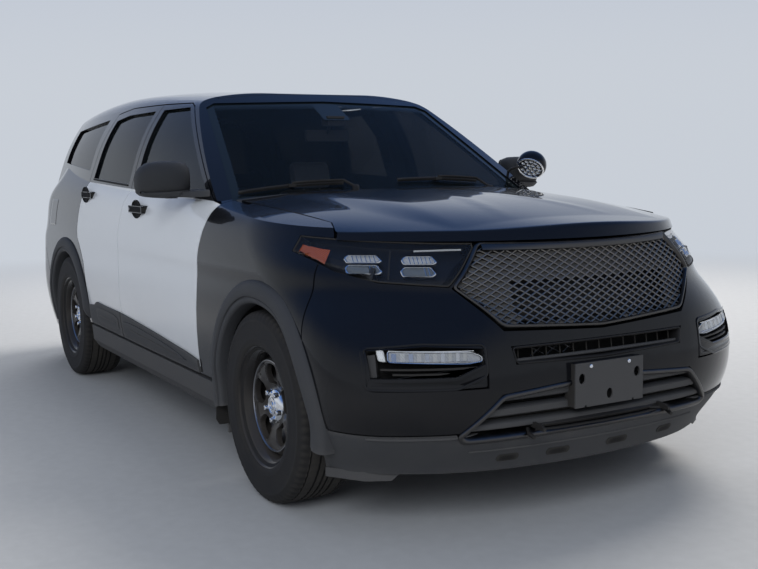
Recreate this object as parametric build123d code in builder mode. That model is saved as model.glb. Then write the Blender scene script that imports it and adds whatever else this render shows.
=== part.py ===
"""Police SUV: painted shell, doors and lids, lamps, cabin, engine block, axles and wheels.

Lengths are millimetres. X points forward, Y to the vehicle's left and Z up.
The ground is z = 0 and the origin lies under the middle of the body.
"""
import os
from math import atan2, cos, degrees, hypot, radians, sin

from build123d import *

os.makedirs("parts", exist_ok=True)

# Whole vehicle
FRONT_AXLE_X = 1630
REAR_AXLE_X = -1395
HALF_TRACK = 849.5
TYRE_RADIUS = 381.5
ARCH_RADIUS = 436
ARCH_INNER = 470
PANEL_GAP = 6
AHEAD = 2700
BEHIND = -2700
ABOVE = 1900
BEYOND = 1200

# Sheet and wall thicknesses
BONNET_THICK = 26
FRAME_WALL = 46
GLASS_DEPTH = 14
GLASS_THICK = 5
SCREEN_THICK = 10
ROOF_THICK = 24
TAIL_WALL = 60
LENS_INSET = 24
GRILLE_INSET = 20
LAMP_DEPTH = 60

# Plan outlines of the lower body, from the rocker to the belt: height at the front and
# rear, nose x, front corner (x, y, heading), half width, tail corner (x, y, heading), tail x
RING_ROWS = (
    (235, 235, 2452, (2252, 750, 126), 925, (-2270, 800, 225), -2440),
    (320, 320, 2484, (2303, 772, 125), 946, (-2292, 818, 225), -2476),
    (400, 400, 2508, (2345, 793, 124), 962, (-2310, 830, 225), -2500),
    (560, 560, 2524, (2368, 810, 125), 982, (-2325, 845, 225), -2525),
    (720, 720, 2508, (2335, 790, 128), 988, (-2310, 840, 225), -2510),
    (880, 880, 2476, (2262, 715, 134), 986, (-2285, 830, 225), -2480),
    (990, 1060, 2456, (2205, 690, 138), 972, (-2250, 805, 225), -2445),
    (1050, 1160, 2440, (2170, 655, 138), 950, (-2225, 785, 225), -2420),
    (1090, 1240, 2424, (2140, 640, 138), 918, (-2172, 742, 225), -2362),
    (1105, 1305, 2410, (2120, 620, 138), 880, (-2140, 712, 225), -2320),
    (1250, 1340, 2330, (2040, 580, 138), 826, (-2100, 672, 225), -2250),
)

# Bonnet and fender top: x, centre height, shoulder (y, z, heading), edge (y, z, heading)
DECK_ROWS = (
    (700, 1262, (800, 1232, -4), (1000, 1200, -12)),
    (1000, 1207, (795, 1174, -7), (1000, 1120, -24)),
    (1500, 1186, (775, 1142, -9), (1000, 1072, -30)),
    (1900, 1158, (745, 1106, -10), (1000, 1026, -32)),
    (2200, 1130, (650, 1088, -10), (1000, 986, -30)),
    (2430, 1098, (600, 1066, -9), (1000, 966, -26)),
    (2650, 1062, (600, 1032, -9), (1000, 940, -24)),
)
BONNET_LIP_Z = 1046
DECK_SPAN = 1150
DECK_SKY = 1600

# Cabin arch sections: x, belt half width, cant rail (y, z, heading), roof shoulder
# (y, z, heading), roof centre height
ARCH_BASE_Z = 1080
ARCH_ROWS = (
    (1500, 872, (640, 1500, 126), (520, 1560, 168), 1592),
    (900, 900, (660, 1575, 126), (540, 1632, 168), 1664),
    (280, 925, (690, 1608, 127), (560, 1668, 170), 1690),
    (-300, 932, (712, 1640, 127), (580, 1706, 171), 1738),
    (-800, 932, (716, 1652, 127), (580, 1728, 171), 1763),
    (-1500, 916, (704, 1640, 127), (570, 1716, 171), 1752),
    (-2150, 876, (668, 1600, 127), (540, 1668, 170), 1703),
    (-2600, 840, (640, 1560, 127), (520, 1626, 169), 1660),
)
BELT_LEAN = 104
SIDE_DRAFT = 0.8
SIDE_FALL = 14

# Windscreen surface: height, centre x, radius of its plan arc
SCREEN_ROWS = (
    (1000, 1462, 1900),
    (1180, 1142, 2110),
    (1660, 294, 2850),
    (2000, -306, 3400),
)
SCREEN_HALF = 1200
SCREEN_FRONT = 3200
SCREEN_STEP = 26

# Plan outlines that bound the cabin's tail, with the columns of RING_ROWS
TAIL_ROWS = (
    (1000, 1000, 2900, (2700, 900, 135), 1060, (-2240, 796, 225), -2440),
    (1160, 1160, 2900, (2700, 900, 135), 1060, (-2216, 779, 225), -2412),
    (1690, 1690, 2900, (2700, 900, 135), 1060, (-2034, 640, 225), -2185),
    (1900, 1900, 2900, (2700, 900, 135), 1060, (-1960, 585, 225), -2094),
)
TAIL_GLASS_DEPTH = 12

# Cabin hollow
CABIN_FRONT_X = 1010
CABIN_FLOOR_Z = 350
CABIN_BELT_Z = 1130
CABIN_HALF = ((CABIN_FRONT_X, 865), (-2040, 865), (-2240, 760), (-2365, 600))

# Engine bay, half plan outlines (x, y) for its low, middle and top levels
BAY_LOW = (
    (860, 905), (1960, 890), (2120, 820), (2230, 740), (2350, 560), (2405, 350), (2428, 80),
)
BAY_MIDDLE = (
    (860, 915), (1500, 905), (1830, 865), (1990, 795), (2140, 690), (2260, 600),
    (2360, 430), (2410, 220), (2425, 80),
)
BAY_TOP = (
    (860, 830), (1500, 815), (1900, 740), (2100, 620), (2250, 480), (2360, 250), (2385, 80),
)

# Side outlines (x, z)
FRONT_DOOR = (
    (942, 400),
    (948, 461),
    (1005, 1033),
    (1042, 1150),
    (938, 1168),
    (225, 1619),
    (150, 1640),
    (-205, 1650),
    (-207, 1204),
    (-212, 400),
)
REAR_DOOR = (
    (-218, 400),
    (-213, 1204),
    (-211, 1650),
    (-700, 1654),
    (-950, 1630),
    (-1090, 1255),
    (-1085, 900),
    (-960, 760),
    (-905, 560),
    (-890, 400),
)
FRONT_WINDOW = (
    (848, 1198), (800, 1192), (-148, 1224), (-150, 1620), (181, 1620),
)
REAR_WINDOW = ((-268, 1228), (-1010, 1256), (-905, 1592), (-700, 1616), (-268, 1620))
QUARTER_WINDOW = ((-1150, 1300), (-1960, 1352), (-1900, 1560), (-1090, 1606))
FENDER = (
    (948, 400), (954, 461), (1011, 1034), (1048, 1152), (1028, 1160), (1028, 1240),
    (1960, 1240), (1960, 1000), (2040, 560), (2040, 400),
)
FUEL_FLAP = ((-1820, 960), (-1820, 1100), (-1680, 1100), (-1680, 960))
TAIL_LAMP = ((-2150, 1030), (-2600, 1010), (-2600, 1190), (-2320, 1200), (-2150, 1150))
BUMPER_REAR = (
    (-1880, 235), (-1880, 560), (-1990, 770), (-2600, 794), (-2600, 235),
)
PILLAR_X = -210
PILLAR_HALF = 52

# Sections seen from the front (y, z): door thickness left at the edges, centre pillar, sill
DOOR_CORE = (
    (500, 380), (916, 380), (932, 560), (942, 720), (940, 880), (926, 1030),
    (900, 1100), (860, 1160), (500, 1160),
)
FRONT_STRIPS = ((-230, -130),)
REAR_STRIPS = ((-285, -200), (-1130, -860))

# Hinge lines (x, y) of the doors and the reach (z, radius) of their rear edges about them
FRONT_HINGE = (940, 990)
REAR_HINGE = (-248, 990)
FRONT_SWING = (
    (380, 1154.5), (700, 1152.5), (1107, 1152.5), (1204, 1153.5), (1300, 1155), (1400, 1158),
    (1500, 1164), (1600, 1175), (1700, 1191),
)
REAR_SWING = (
    (380, 642), (400, 643.5), (560, 658.5), (760, 715), (900, 839), (1107, 844), (1255, 851),
    (1400, 803.5), (1500, 776.2), (1600, 757.8), (1700, 742),
)

# Middle (x, y, z) of each door handle, with its grip and its two feet (length, depth, height)
FRONT_HANDLE = (82, 965, 1106)
REAR_HANDLE = (-958, 944, 1158)
HANDLE_GRIP = (220, 18, 36)
HANDLE_FOOT = (40, 60, 34)
HANDLE_FEET_X = 84

# Blocks (low corner, high corner) that end the walls: the front door's lock side, the fixed
# side above and ahead of the sill, and the fenders' inner edge
DOOR_NOTCHES = (
    ((CABIN_FRONT_X - 2, 0, 0), (1200, 865, 1300)),
    ((900, 0, 1120), (1200, 835, 1172)),
)
SIDE_LIMITS = ((-2460, 0, 300), (1022, 1400, 1900))
SIDE_NOTCHES = (
    ((-2600, 0, 0), (1100, 780, 600)),
    ((-1200, 866, 0), (1200, 1200, 394)),
    ((CABIN_FRONT_X - 7, 0, 0), (1100, 771, 1096)),
)
FENDER_INNER = 899
FENDER_CREST = ((900, 824, 994), (2100, 1100, 1300))
FENDER_NOTCH = ((900, -700, 0), (2100, 700, 1500))
FLAP_INNER = 934
BUMPER_LIMITS = ((1900, -1200, 400), (2700, 1200, BONNET_LIP_Z - PANEL_GAP))
VALANCE_LIMITS = ((1900, -1200, 220), (2700, 1200, 400 - PANEL_GAP))
LAMP_BACK = 1816
PILLAR = (
    (894, 394), (905, 560), (918, 720), (918, 880), (900, 1030), (872, 1110), (826, 1200),
    (796, 1300), (760, 1400), (716, 1500), (668, 1590), (600, 1628), (574, 1648),
    (562, 1668), (545, 1668), (552, 1606), (650, 1480), (740, 1200), (770, 1100), (790, 900), (790, 394),
)
SILL = ((870, 260), (925, 250), (962, 300), (968, 388), (872, 388))
SILL_SPAN = (-884, 1122)
SILL_ENDS = (
    ((1122, 872, 270), (1150, 922, 388)),
    ((1150, 800, 170), (1166, 922, 390)),
    ((-1880, 800, 180), (-1864, 915, 294)),
)
FLARE_RADIUS = 502
FLARE_MIDDLE_Y = 951
FLARE_DEPTH = 102
FLARE_FOOT_Z = 300

# Plan outline of the bonnet, half (x, y)
BONNET_HALF = ((1010, 800), (1400, 790), (1860, 762), (1960, 800), (2100, 900), (2600, 900))

# Tailgate and its window, roof panel and windscreen opening, half outlines
TAILGATE_HALF = (
    (0, 800), (760, 800), (800, 1000), (790, 1180), (650, 1560), (600, 1800), (0, 1800),
)
TAILGATE_WINDOW = ((0, 1250), (640, 1250), (560, 1560), (520, 1590), (0, 1600))
TAILGATE_FRONT_X = -2110
ROOF_HALF = ((236, 560), (-2100, 545))
SCREEN_OUTLINE = ((0, 1120), (836, 1120), (806, 1176), (652, 1612), (600, 1636), (0, 1652))

# Front openings, seen from the front (y, z), left halves
HEADLAMP = (
    (448, 1040), (572, 898), (760, 912), (850, 946), (900, 1000), (940, 1054), (1000, 1060),
    (1000, 1072), (900, 1062), (760, 1050),
)
RUNNING_LAMP = ((500, 560), (500, 690), (700, 705), (860, 690), (860, 560))
GRILLE_HALF = ((0, 1040), (436, 1040), (560, 892), (420, 748), (0, 726))
SLOT_HALF = ((0, 690), (400, 690), (386, 632), (0, 622))
INTAKE_HALF = ((0, 560), (444, 528), (590, 392), (560, 366), (0, 366))
SLAT_GAPS_Z = (400, 450, 500)
SLAT_GAP = 28
SLAT_HALF = 520

# Plate bracket, seen from the side (x, z), with its holes (y, z), and the bar below it with
# one of its two arms (low corner, high corner)
PLATE_SIDE = ((2547, 452), (2547, 612), (2516, 612), (2516, 562), (2500, 556), (2490, 452))
PLATE_HALF = 160
PLATE_HOLES = ((-130, 556), (130, 556), (0, 490))
PLATE_HOLE = (14, 40)
CROSSBAR = ((2452, -290, 386), (2504, 290, 408))
CROSSBAR_ARM = ((2444, 289, 386), (2547, 303, 412))

# Floor and firewall, seen from the side (x, z)
FLOOR = (
    (1000, 300), (1000, 340), (-1190, 340), (-1250, 640), (-2240, 640),
    (-2240, 600), (-1280, 600), (-1220, 300),
)
FIREWALL = ((1004, 300), (1004, 1090), (1030, 1090), (1030, 300))
FLOOR_HALF = 770
FLOOR_TAIL = ((-2400, -560, 600), (-2230, 560, 640))
LOAD_PANEL = ((-2320, -600, 640), (-1600, 600, 654))

# Wheel wells: axle x and inner y, with the outer y, the sheet and the height where they end
WELLS = ((FRONT_AXLE_X, 484), (REAR_AXLE_X, 640))
WELL_OUTER = 930
WELL_SHEET = (16, 8)
WELL_FOOT_Z = 480

# Tyre and rim sections (radius, offset from the wheel's middle), and one rim window
TYRE_SECTION = (
    (224, -100), (250, -127), (330, -127.5), (368, -112), (TYRE_RADIUS, -80),
    (TYRE_RADIUS, 80), (368, 112), (330, 127), (250, 127), (224, 100),
)
RIM_SECTION = (
    (223, -99), (223, 99), (235, 112), (222, 112), (206, 92), (200, 60),
    (150, 78), (70, 60), (66, 84), (0, 84), (0, 34), (60, 34), (150, 60),
    (190, 44), (206, -60), (206, -92), (222, -112), (235, -112),
)
RIM_WINDOW = ((88, -28), (168, -56), (168, 56), (88, 28))
RIM_WINDOW_COUNT = 5
RIM_WINDOW_CORNER = 13
RIM_REACH = 230

# Left knuckle: hub, upright and steering arm (middle, size), the hub as radius and length
HUB = ((FRONT_AXLE_X, 778, TYRE_RADIUS), (56, 96))
UPRIGHT = ((FRONT_AXLE_X, 736, TYRE_RADIUS), (70, 40, 230))
STEERING_ARM = ((FRONT_AXLE_X - 70, 730, 330), (130, 24, 28))

# Subframes: cross member (low corner, high corner) and left bars (start, end, radius)
FRONT_MEMBER = ((1500, -440, 230), (1780, 440, 300))
FRONT_BARS = (
    ((FRONT_AXLE_X, 400, 250), (FRONT_AXLE_X, 690, 240), 24),
    ((FRONT_AXLE_X, 630, 420), (FRONT_AXLE_X, 596, 790), 30),
)
REAR_MEMBER = ((-1560, -420, 240), (-1240, 420, 330))
REAR_BARS = (
    ((REAR_AXLE_X, 400, 290), (REAR_AXLE_X, 780, 300), 26),
    ((REAR_AXLE_X, 690, TYRE_RADIUS), (REAR_AXLE_X, 850, TYRE_RADIUS), 56),
    ((REAR_AXLE_X + 60, 600, 320), (REAR_AXLE_X + 60, 560, 590), 28),
)
ENGINE = ((1180, -300, 340), (1960, 300, 1000))
COOLING_PACK = ((2140, -400, 420), (2200, 400, 980))
EXHAUST_PIPE = ((1100, 200, 240), (-1100, 200, 240), 32)
SILENCER = ((-2150, -380, 250), (-1800, 380, 400))

# Cabin: dashboard seen from the side (x, z), and the seats' cushions (low corner, high
# corner) and leaning backs (middle, size, lean)
DASH = ((560, 700), (540, 980), (620, 1060), (960, 1090), (990, 1060), (990, 700))
DASH_HALF = 760
CUSHIONS = (
    ((-480, 130, 380), (40, 630, 560)),
    ((-480, -630, 380), (40, -130, 560)),
    ((-1160, -620, 400), (-700, 620, 560)),
)
BACKS = (
    ((-520, 380, 860), (120, 480, 640), -16),
    ((-640, 380, 1250), (90, 250, 170), -16),
    ((-520, -380, 860), (120, 480, 640), -16),
    ((-640, -380, 1250), (90, 250, 170), -16),
    ((-1256, 0, 862), (120, 1240, 640), -18),
)
STEERING_PLACE = (430, 380, 960)
STEERING_LEAN = -65
STEERING_RING = (180, 16)
STEERING_BOSS = (60, 30)
STEERING_SPOKE = (340, 34, 16)

# Outside fittings: left mirror shell (middle, size) and arm, spotlight place and turn
MIRROR_SHELL = ((680, 1040, 1262), (120, 190, 170))
MIRROR_CORNER = 30
MIRROR_ARM = ((660, 916, 1192), (730, 960, 1214))
SPOTLIGHT_PLACE = (877, 950, 1291)
SPOTLIGHT_TURN = 70
SPOTLIGHT_RIM = 76
SPOTLIGHT_HALF_DEPTH = 14
SPOTLIGHT_BACK = ((56, -50), (14, -72))


def biarc(start: tuple, end: tuple) -> list:
    """Two tangent arcs from one (x, y, heading) key to the next, as point triples."""
    x0, y0, h0 = start
    x1, y1, h1 = end
    t0 = (cos(radians(h0)), sin(radians(h0)))
    t1 = (cos(radians(h1)), sin(radians(h1)))
    vx, vy = x1 - x0, y1 - y0
    along = vx * (t0[0] + t1[0]) + vy * (t0[1] + t1[1])
    square = vx * vx + vy * vy
    bend = 2 * (1 - t0[0] * t1[0] - t0[1] * t1[1])
    reach = (-along + (along * along + bend * square) ** 0.5) / bend
    joint = (
        (x0 + x1 + reach * (t0[0] - t1[0])) / 2,
        (y0 + y1 + reach * (t0[1] - t1[1])) / 2,
    )
    middle = degrees(atan2(joint[1] - y0, joint[0] - x0)) * 2 - h0
    return [
        ((x0, y0), arc_middle((x0, y0), h0, joint), joint),
        (joint, arc_middle(joint, middle, (x1, y1)), (x1, y1)),
    ]


def arc_middle(start: tuple, heading: float, end: tuple) -> tuple:
    """Middle point of the arc that leaves start at the heading and reaches end."""
    dx, dy = end[0] - start[0], end[1] - start[1]
    chord = hypot(dx, dy)
    half_turn = radians((degrees(atan2(dy, dx)) - heading + 180) % 360 - 180)
    rise = chord / 2 * sin(half_turn / 2) / cos(half_turn / 2)
    return (
        (start[0] + end[0]) / 2 + rise * dy / chord,
        (start[1] + end[1]) / 2 - rise * dx / chord,
    )


def chain(keys: tuple, inset: float = 0) -> list:
    """Arcs through (x, y, heading) keys, moved to their left by the inset."""
    moved = [
        (x - inset * sin(radians(h)), y + inset * cos(radians(h)), h) for x, y, h in keys
    ]
    arcs = []
    for start, end in zip(moved, moved[1:]):
        arcs.extend(biarc(start, end))
    return arcs


def flipped(arcs: list, axis: int) -> list:
    """The same arcs mirrored over the other axis and run backwards."""
    sign = (1, -1) if axis == 1 else (-1, 1)
    return [
        tuple((x * sign[0], y * sign[1]) for x, y in reversed(arc)) for arc in reversed(arcs)
    ]


def corner_arc(corner: tuple, side: tuple) -> tuple:
    """Arc from a corner key to where it meets the (y, heading) of the body side."""
    x, y, heading = corner
    width, course = side
    chord = (heading + course) / 2
    reach = (width - y) / sin(radians(chord))
    end = (x + reach * cos(radians(chord)), width)
    return ((x, y), arc_middle((x, y), heading, end), end)


def half_ring(row: tuple, inset: float) -> list:
    """Arcs of one plan outline, from the nose round the left side to the tail."""
    nose, front, width, rear, tail = row[2:]
    half = width - inset
    front, rear = (
        (x - inset * sin(radians(h)), y + inset * cos(radians(h)), h)
        for x, y, h in (front, rear)
    )
    ahead = corner_arc(front, (half - SIDE_FALL, 180 - SIDE_DRAFT))
    turned = (-rear[0], rear[1], 360 - rear[2])
    behind = flipped([corner_arc(turned, (half - SIDE_FALL, 180 - SIDE_DRAFT))], 0)[0]
    return [
        *biarc((nose - inset, 0, 90), front),
        ahead,
        (ahead[2], (0, half), behind[0]),
        behind,
        *biarc(rear, (tail + inset, 0, 270)),
    ]


def ring_form(rows: tuple, inset: float) -> Part:
    """Body inside a table of plan outlines, moved in by the inset."""
    with BuildPart() as form:
        for row in rows:
            tilt = degrees(atan2(row[0] - row[1], 5000))
            arcs = half_ring(row, inset)
            with BuildSketch(Plane((0, 0, (row[0] + row[1]) / 2)).rotated((0, -tilt, 0))):
                with BuildLine():
                    for points in arcs + flipped(arcs, 1):
                        ThreePointArc(*points)
                make_face()
        loft()
    return form.part


def lower_form(inset: float) -> Part:
    """Lower body inside its plan outlines, moved in by the inset."""
    return ring_form(RING_ROWS, inset)


def deck_form(drop: float) -> Part:
    """Space above the bonnet and fender tops, lowered by the drop."""
    with BuildPart() as form:
        for x, centre, shoulder, edge in DECK_ROWS:
            keys = ((0, centre - drop, 0),)
            keys += ((shoulder[0], shoulder[1] - drop, shoulder[2]),)
            keys += ((edge[0], edge[1] - drop, edge[2]),)
            arcs = chain(keys)
            low = keys[2][1] + (DECK_SPAN - keys[2][0]) * sin(radians(keys[2][2]))
            with BuildSketch(Plane.YZ.offset(x)):
                with BuildLine():
                    for points in flipped(arcs, 0) + arcs:
                        ThreePointArc(*points)
                    Polyline(
                        (keys[2][0], keys[2][1]),
                        (DECK_SPAN, low),
                        (DECK_SPAN, DECK_SKY),
                        (-DECK_SPAN, DECK_SKY),
                        (-DECK_SPAN, low),
                        (-keys[2][0], keys[2][1]),
                    )
                make_face()
        loft()
    return form.part


def cabin_form(inset: float) -> Part:
    """Upper body inside its arch sections, moved in by the inset."""
    with BuildPart() as form:
        for x, width, cant, shoulder, top in ARCH_ROWS:
            keys = ((width, ARCH_BASE_Z, BELT_LEAN), cant, shoulder, (0, top, 180))
            arcs = chain(keys, inset)
            arcs = arcs + flipped(arcs, 0)
            with BuildSketch(Plane.YZ.offset(x)):
                with BuildLine():
                    for points in arcs:
                        ThreePointArc(*points)
                    Line(arcs[-1][2], arcs[0][0])
                make_face()
        loft()
    return form.part


def screen_form(shift: float) -> Part:
    """Space in front of the windscreen surface, moved back by the shift."""
    with BuildPart() as form:
        for z, centre, radius in SCREEN_ROWS:
            x = centre - shift
            edge = x - radius + (radius**2 - SCREEN_HALF**2) ** 0.5
            with BuildSketch(Plane.XY.offset(z)):
                with BuildLine():
                    ThreePointArc((edge, -SCREEN_HALF), (x, 0), (edge, SCREEN_HALF))
                    Polyline(
                        (edge, SCREEN_HALF),
                        (SCREEN_FRONT, SCREEN_HALF),
                        (SCREEN_FRONT, -SCREEN_HALF),
                        (edge, -SCREEN_HALF),
                    )
                make_face()
        loft(ruled=True)
    return form.part


def side_prism(points: tuple, grow: float = 0, inner: float = 0, reach: float = 1100) -> Part:
    """Both sides' prism over an (x, z) outline, from y = inner out to the reach."""
    with BuildPart() as form:
        with BuildSketch(Plane.XZ):
            with BuildLine():
                Polyline(*points, close=True)
            make_face()
            if grow:
                offset(amount=grow, kind=Kind.INTERSECTION)
        extrude(amount=reach, both=True)
        if inner:
            Box(6000, 2 * inner, 6000, mode=Mode.SUBTRACT)
    return form.part


def front_prism(half: tuple, grow: float, back: float, ahead: float) -> Part:
    """Prism along X over a left (y, z) outline and its mirror image."""
    with BuildPart() as form:
        with BuildSketch(Plane.YZ.offset(back)):
            with BuildLine():
                Polyline(*half, close=True)
            make_face()
            mirror(about=Plane.YZ)
            if grow:
                offset(amount=grow, kind=Kind.INTERSECTION)
        extrude(amount=ahead - back)
    return form.part


def plan_prism(half: tuple, grow: float, low: float, high: float) -> Part:
    """Upright prism over a left (x, y) outline and its mirror image."""
    corners = half + tuple((x, -y) for x, y in reversed(half))
    with BuildPart() as form:
        with BuildSketch(Plane.XY.offset(low)):
            with BuildLine():
                Polyline(*corners, close=True)
            make_face()
            if grow:
                offset(amount=grow, kind=Kind.INTERSECTION)
        extrude(amount=high - low)
    return form.part


def block(low: tuple, high: tuple) -> Part:
    """Box between two opposite corners."""
    sizes = [b - a for a, b in zip(low, high)]
    centre = [(a + b) / 2 for a, b in zip(low, high)]
    with BuildPart() as form:
        with Locations(tuple(centre)):
            Box(*sizes)
    return form.part


def rod(start: tuple, end: tuple, radius: float) -> Part:
    """Round bar between two points."""
    axis = Vector(*end) - Vector(*start)
    with BuildPart() as form:
        with BuildSketch(Plane(origin=start, z_dir=axis)):
            Circle(radius)
        extrude(amount=axis.length)
    return form.part


def arches(radius: float, inner: float, outer: float = 1100) -> Part:
    """Four round wheel spaces, from the inner to the outer y."""
    with BuildPart() as form:
        for x in (FRONT_AXLE_X, REAR_AXLE_X):
            for side in (-1, 1):
                with Locations((x, side * (inner + outer) / 2, TYRE_RADIUS)):
                    Cylinder(radius, outer - inner, rotation=(90, 0, 0))
    return form.part


def section_prism(points: tuple, back: float, ahead: float) -> Part:
    """Prism along X over one closed (y, z) outline."""
    with BuildPart() as form:
        with BuildSketch(Plane.YZ.offset(back)):
            with BuildLine():
                Polyline(*points, close=True)
            make_face()
        extrude(amount=ahead - back)
    return form.part


def both_sides(part: Part) -> Part:
    """A left part together with its mirror image."""
    with BuildPart() as form:
        add(part)
        mirror(about=Plane.XZ)
    return form.part


def swing_form(hinge: tuple, rows: tuple) -> Part:
    """Space inside a door's reach (z, radius) about its upright hinge line (x, y)."""
    reach = tuple((radius, z) for z, radius in rows)
    with BuildPart() as form:
        with BuildSketch(Plane.XZ):
            with BuildLine():
                Polyline((0, reach[0][1]), *reach, (0, reach[-1][1]), close=True)
            make_face()
        revolve(axis=Axis.Z)
    return form.part.moved(Location((hinge[0], hinge[1], 0)))


def handle_form(middle: tuple) -> Part:
    """Pull handle of a left door: a grip on two feet that reach into the skin."""
    x, y, z = middle
    with BuildPart() as form:
        with Locations((x, y, z)):
            Box(*HANDLE_GRIP)
        for shift in (-HANDLE_FEET_X, HANDLE_FEET_X):
            with Locations((x + shift, y - (HANDLE_FOOT[1] - HANDLE_GRIP[1]) / 2, z)):
                Box(*HANDLE_FOOT)
    return form.part


def save(part: Part, name: str) -> None:
    """Label the part and write its file."""
    part.label = name
    export_step(part, f"parts/{name}.step")


# Master forms
lower_outer = lower_form(0)
cabin_outer = cabin_form(0)

with BuildPart() as body_form:
    add(lower_outer)
    add(deck_form(0), mode=Mode.SUBTRACT)

with BuildPart() as cabin_shell:
    add(cabin_outer)
    add(screen_form(0), mode=Mode.SUBTRACT)
    add(ring_form(TAIL_ROWS, 0), mode=Mode.INTERSECT)

with BuildPart() as whole:
    add(body_form.part)
    add(cabin_shell.part)

with BuildPart() as cabin_hollow:
    add(cabin_form(FRAME_WALL))
    add(screen_form(3 * SCREEN_STEP), mode=Mode.SUBTRACT)
    add(ring_form(TAIL_ROWS, TAIL_WALL), mode=Mode.INTERSECT)
    add(block((CABIN_FRONT_X, -1200, 900), (1600, 1200, 1300)), mode=Mode.SUBTRACT)

with BuildPart() as hollow:
    add(plan_prism(CABIN_HALF, 0, CABIN_FLOOR_Z, CABIN_BELT_Z))
    add(cabin_hollow.part)

with BuildPart() as left_wall:
    add(whole.part)
    add(block((-3000, 0, 0), (1100, 1400, 2000)), mode=Mode.INTERSECT)
    add(hollow.part, mode=Mode.SUBTRACT)

with BuildPart() as left_glass:
    add(cabin_form(GLASS_DEPTH))
    add(block((-2600, 500, 1100), (1100, 1400, 1690)), mode=Mode.INTERSECT)
    add(cabin_form(GLASS_DEPTH + GLASS_THICK), mode=Mode.SUBTRACT)

with BuildPart() as bay_hollow:
    add(plan_prism(BAY_TOP, 0, 1000, 1150))
    add(deck_form(BONNET_THICK), mode=Mode.SUBTRACT)
    add(plan_prism(BAY_MIDDLE, 0, 800, 1000))
    add(plan_prism(BAY_LOW, 0, 270, 800))

with BuildPart() as front_skin:
    add(body_form.part)
    add(block((900, -1200, 0), (3000, 1200, 2000)), mode=Mode.INTERSECT)
    add(bay_hollow.part, mode=Mode.SUBTRACT)

wheel_space = arches(ARCH_RADIUS, ARCH_INNER)

# Doors with their glass, left ones modelled and right ones mirrored
for where, outline, window, strips, hinge, swing, handle in (
    ("front", FRONT_DOOR, FRONT_WINDOW, FRONT_STRIPS, FRONT_HINGE, FRONT_SWING, FRONT_HANDLE),
    ("rear", REAR_DOOR, REAR_WINDOW, REAR_STRIPS, REAR_HINGE, REAR_SWING, REAR_HANDLE),
):
    with BuildPart() as door:
        add(left_wall.part)
        add(side_prism(outline), mode=Mode.INTERSECT)
        add(side_prism(window), mode=Mode.SUBTRACT)
        for low, high in DOOR_NOTCHES:
            add(block(low, high), mode=Mode.SUBTRACT)
        for back, ahead in strips:
            add(section_prism(DOOR_CORE, back, ahead), mode=Mode.SUBTRACT)
        add(swing_form(hinge, swing), mode=Mode.INTERSECT)
        add(handle_form(handle))
    with BuildPart() as pane:
        add(left_glass.part)
        add(side_prism(window), mode=Mode.INTERSECT)
    save(door.part, f"{where}_door_left")
    save(mirror(door.part, about=Plane.XZ), f"{where}_door_right")
    save(pane.part, f"{where}_door_glass_left")
    save(mirror(pane.part, about=Plane.XZ), f"{where}_door_glass_right")

# Lids: bonnet, tailgate and fuel flap
with BuildPart() as bonnet:
    add(front_skin.part)
    add(plan_prism(BONNET_HALF, -PANEL_GAP / 2, BONNET_LIP_Z, 1400), mode=Mode.INTERSECT)
    add(screen_form(-70), mode=Mode.INTERSECT)
    add(front_prism(HEADLAMP, PANEL_GAP, LAMP_BACK, AHEAD), mode=Mode.SUBTRACT)
save(bonnet.part, "bonnet")

with BuildPart() as tailgate:
    add(whole.part)
    add(front_prism(TAILGATE_HALF, 0, BEHIND, TAILGATE_FRONT_X), mode=Mode.INTERSECT)
    add(hollow.part, mode=Mode.SUBTRACT)
    add(front_prism(TAILGATE_WINDOW, 0, BEHIND, -2000), mode=Mode.SUBTRACT)
save(tailgate.part, "tailgate")

with BuildPart() as tailgate_glass:
    add(front_prism(TAILGATE_WINDOW, 0, BEHIND, -1900))
    add(ring_form(TAIL_ROWS, TAIL_GLASS_DEPTH), mode=Mode.INTERSECT)
    add(ring_form(TAIL_ROWS, TAIL_GLASS_DEPTH + GLASS_THICK), mode=Mode.SUBTRACT)
save(tailgate_glass.part, "tailgate_glass")

with BuildPart() as fuel_flap:
    add(left_wall.part)
    add(side_prism(FUEL_FLAP), mode=Mode.INTERSECT)
    add(block((BEHIND, 0, 0), (0, FLAP_INNER + PANEL_GAP, 2000)), mode=Mode.SUBTRACT)
save(fuel_flap.part, "fuel_flap")

# Fixed shell: sides, roof, fenders and bumpers
with BuildPart() as roof_panel:
    add(cabin_shell.part)
    add(plan_prism(ROOF_HALF, -PANEL_GAP / 2, 1600, ABOVE), mode=Mode.INTERSECT)
    add(cabin_form(ROOF_THICK), mode=Mode.SUBTRACT)
save(roof_panel.part, "roof_panel")

with BuildPart() as fender_crest:
    add(side_prism(FENDER, PANEL_GAP))
    add(block(*FENDER_CREST), mode=Mode.INTERSECT)

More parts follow.
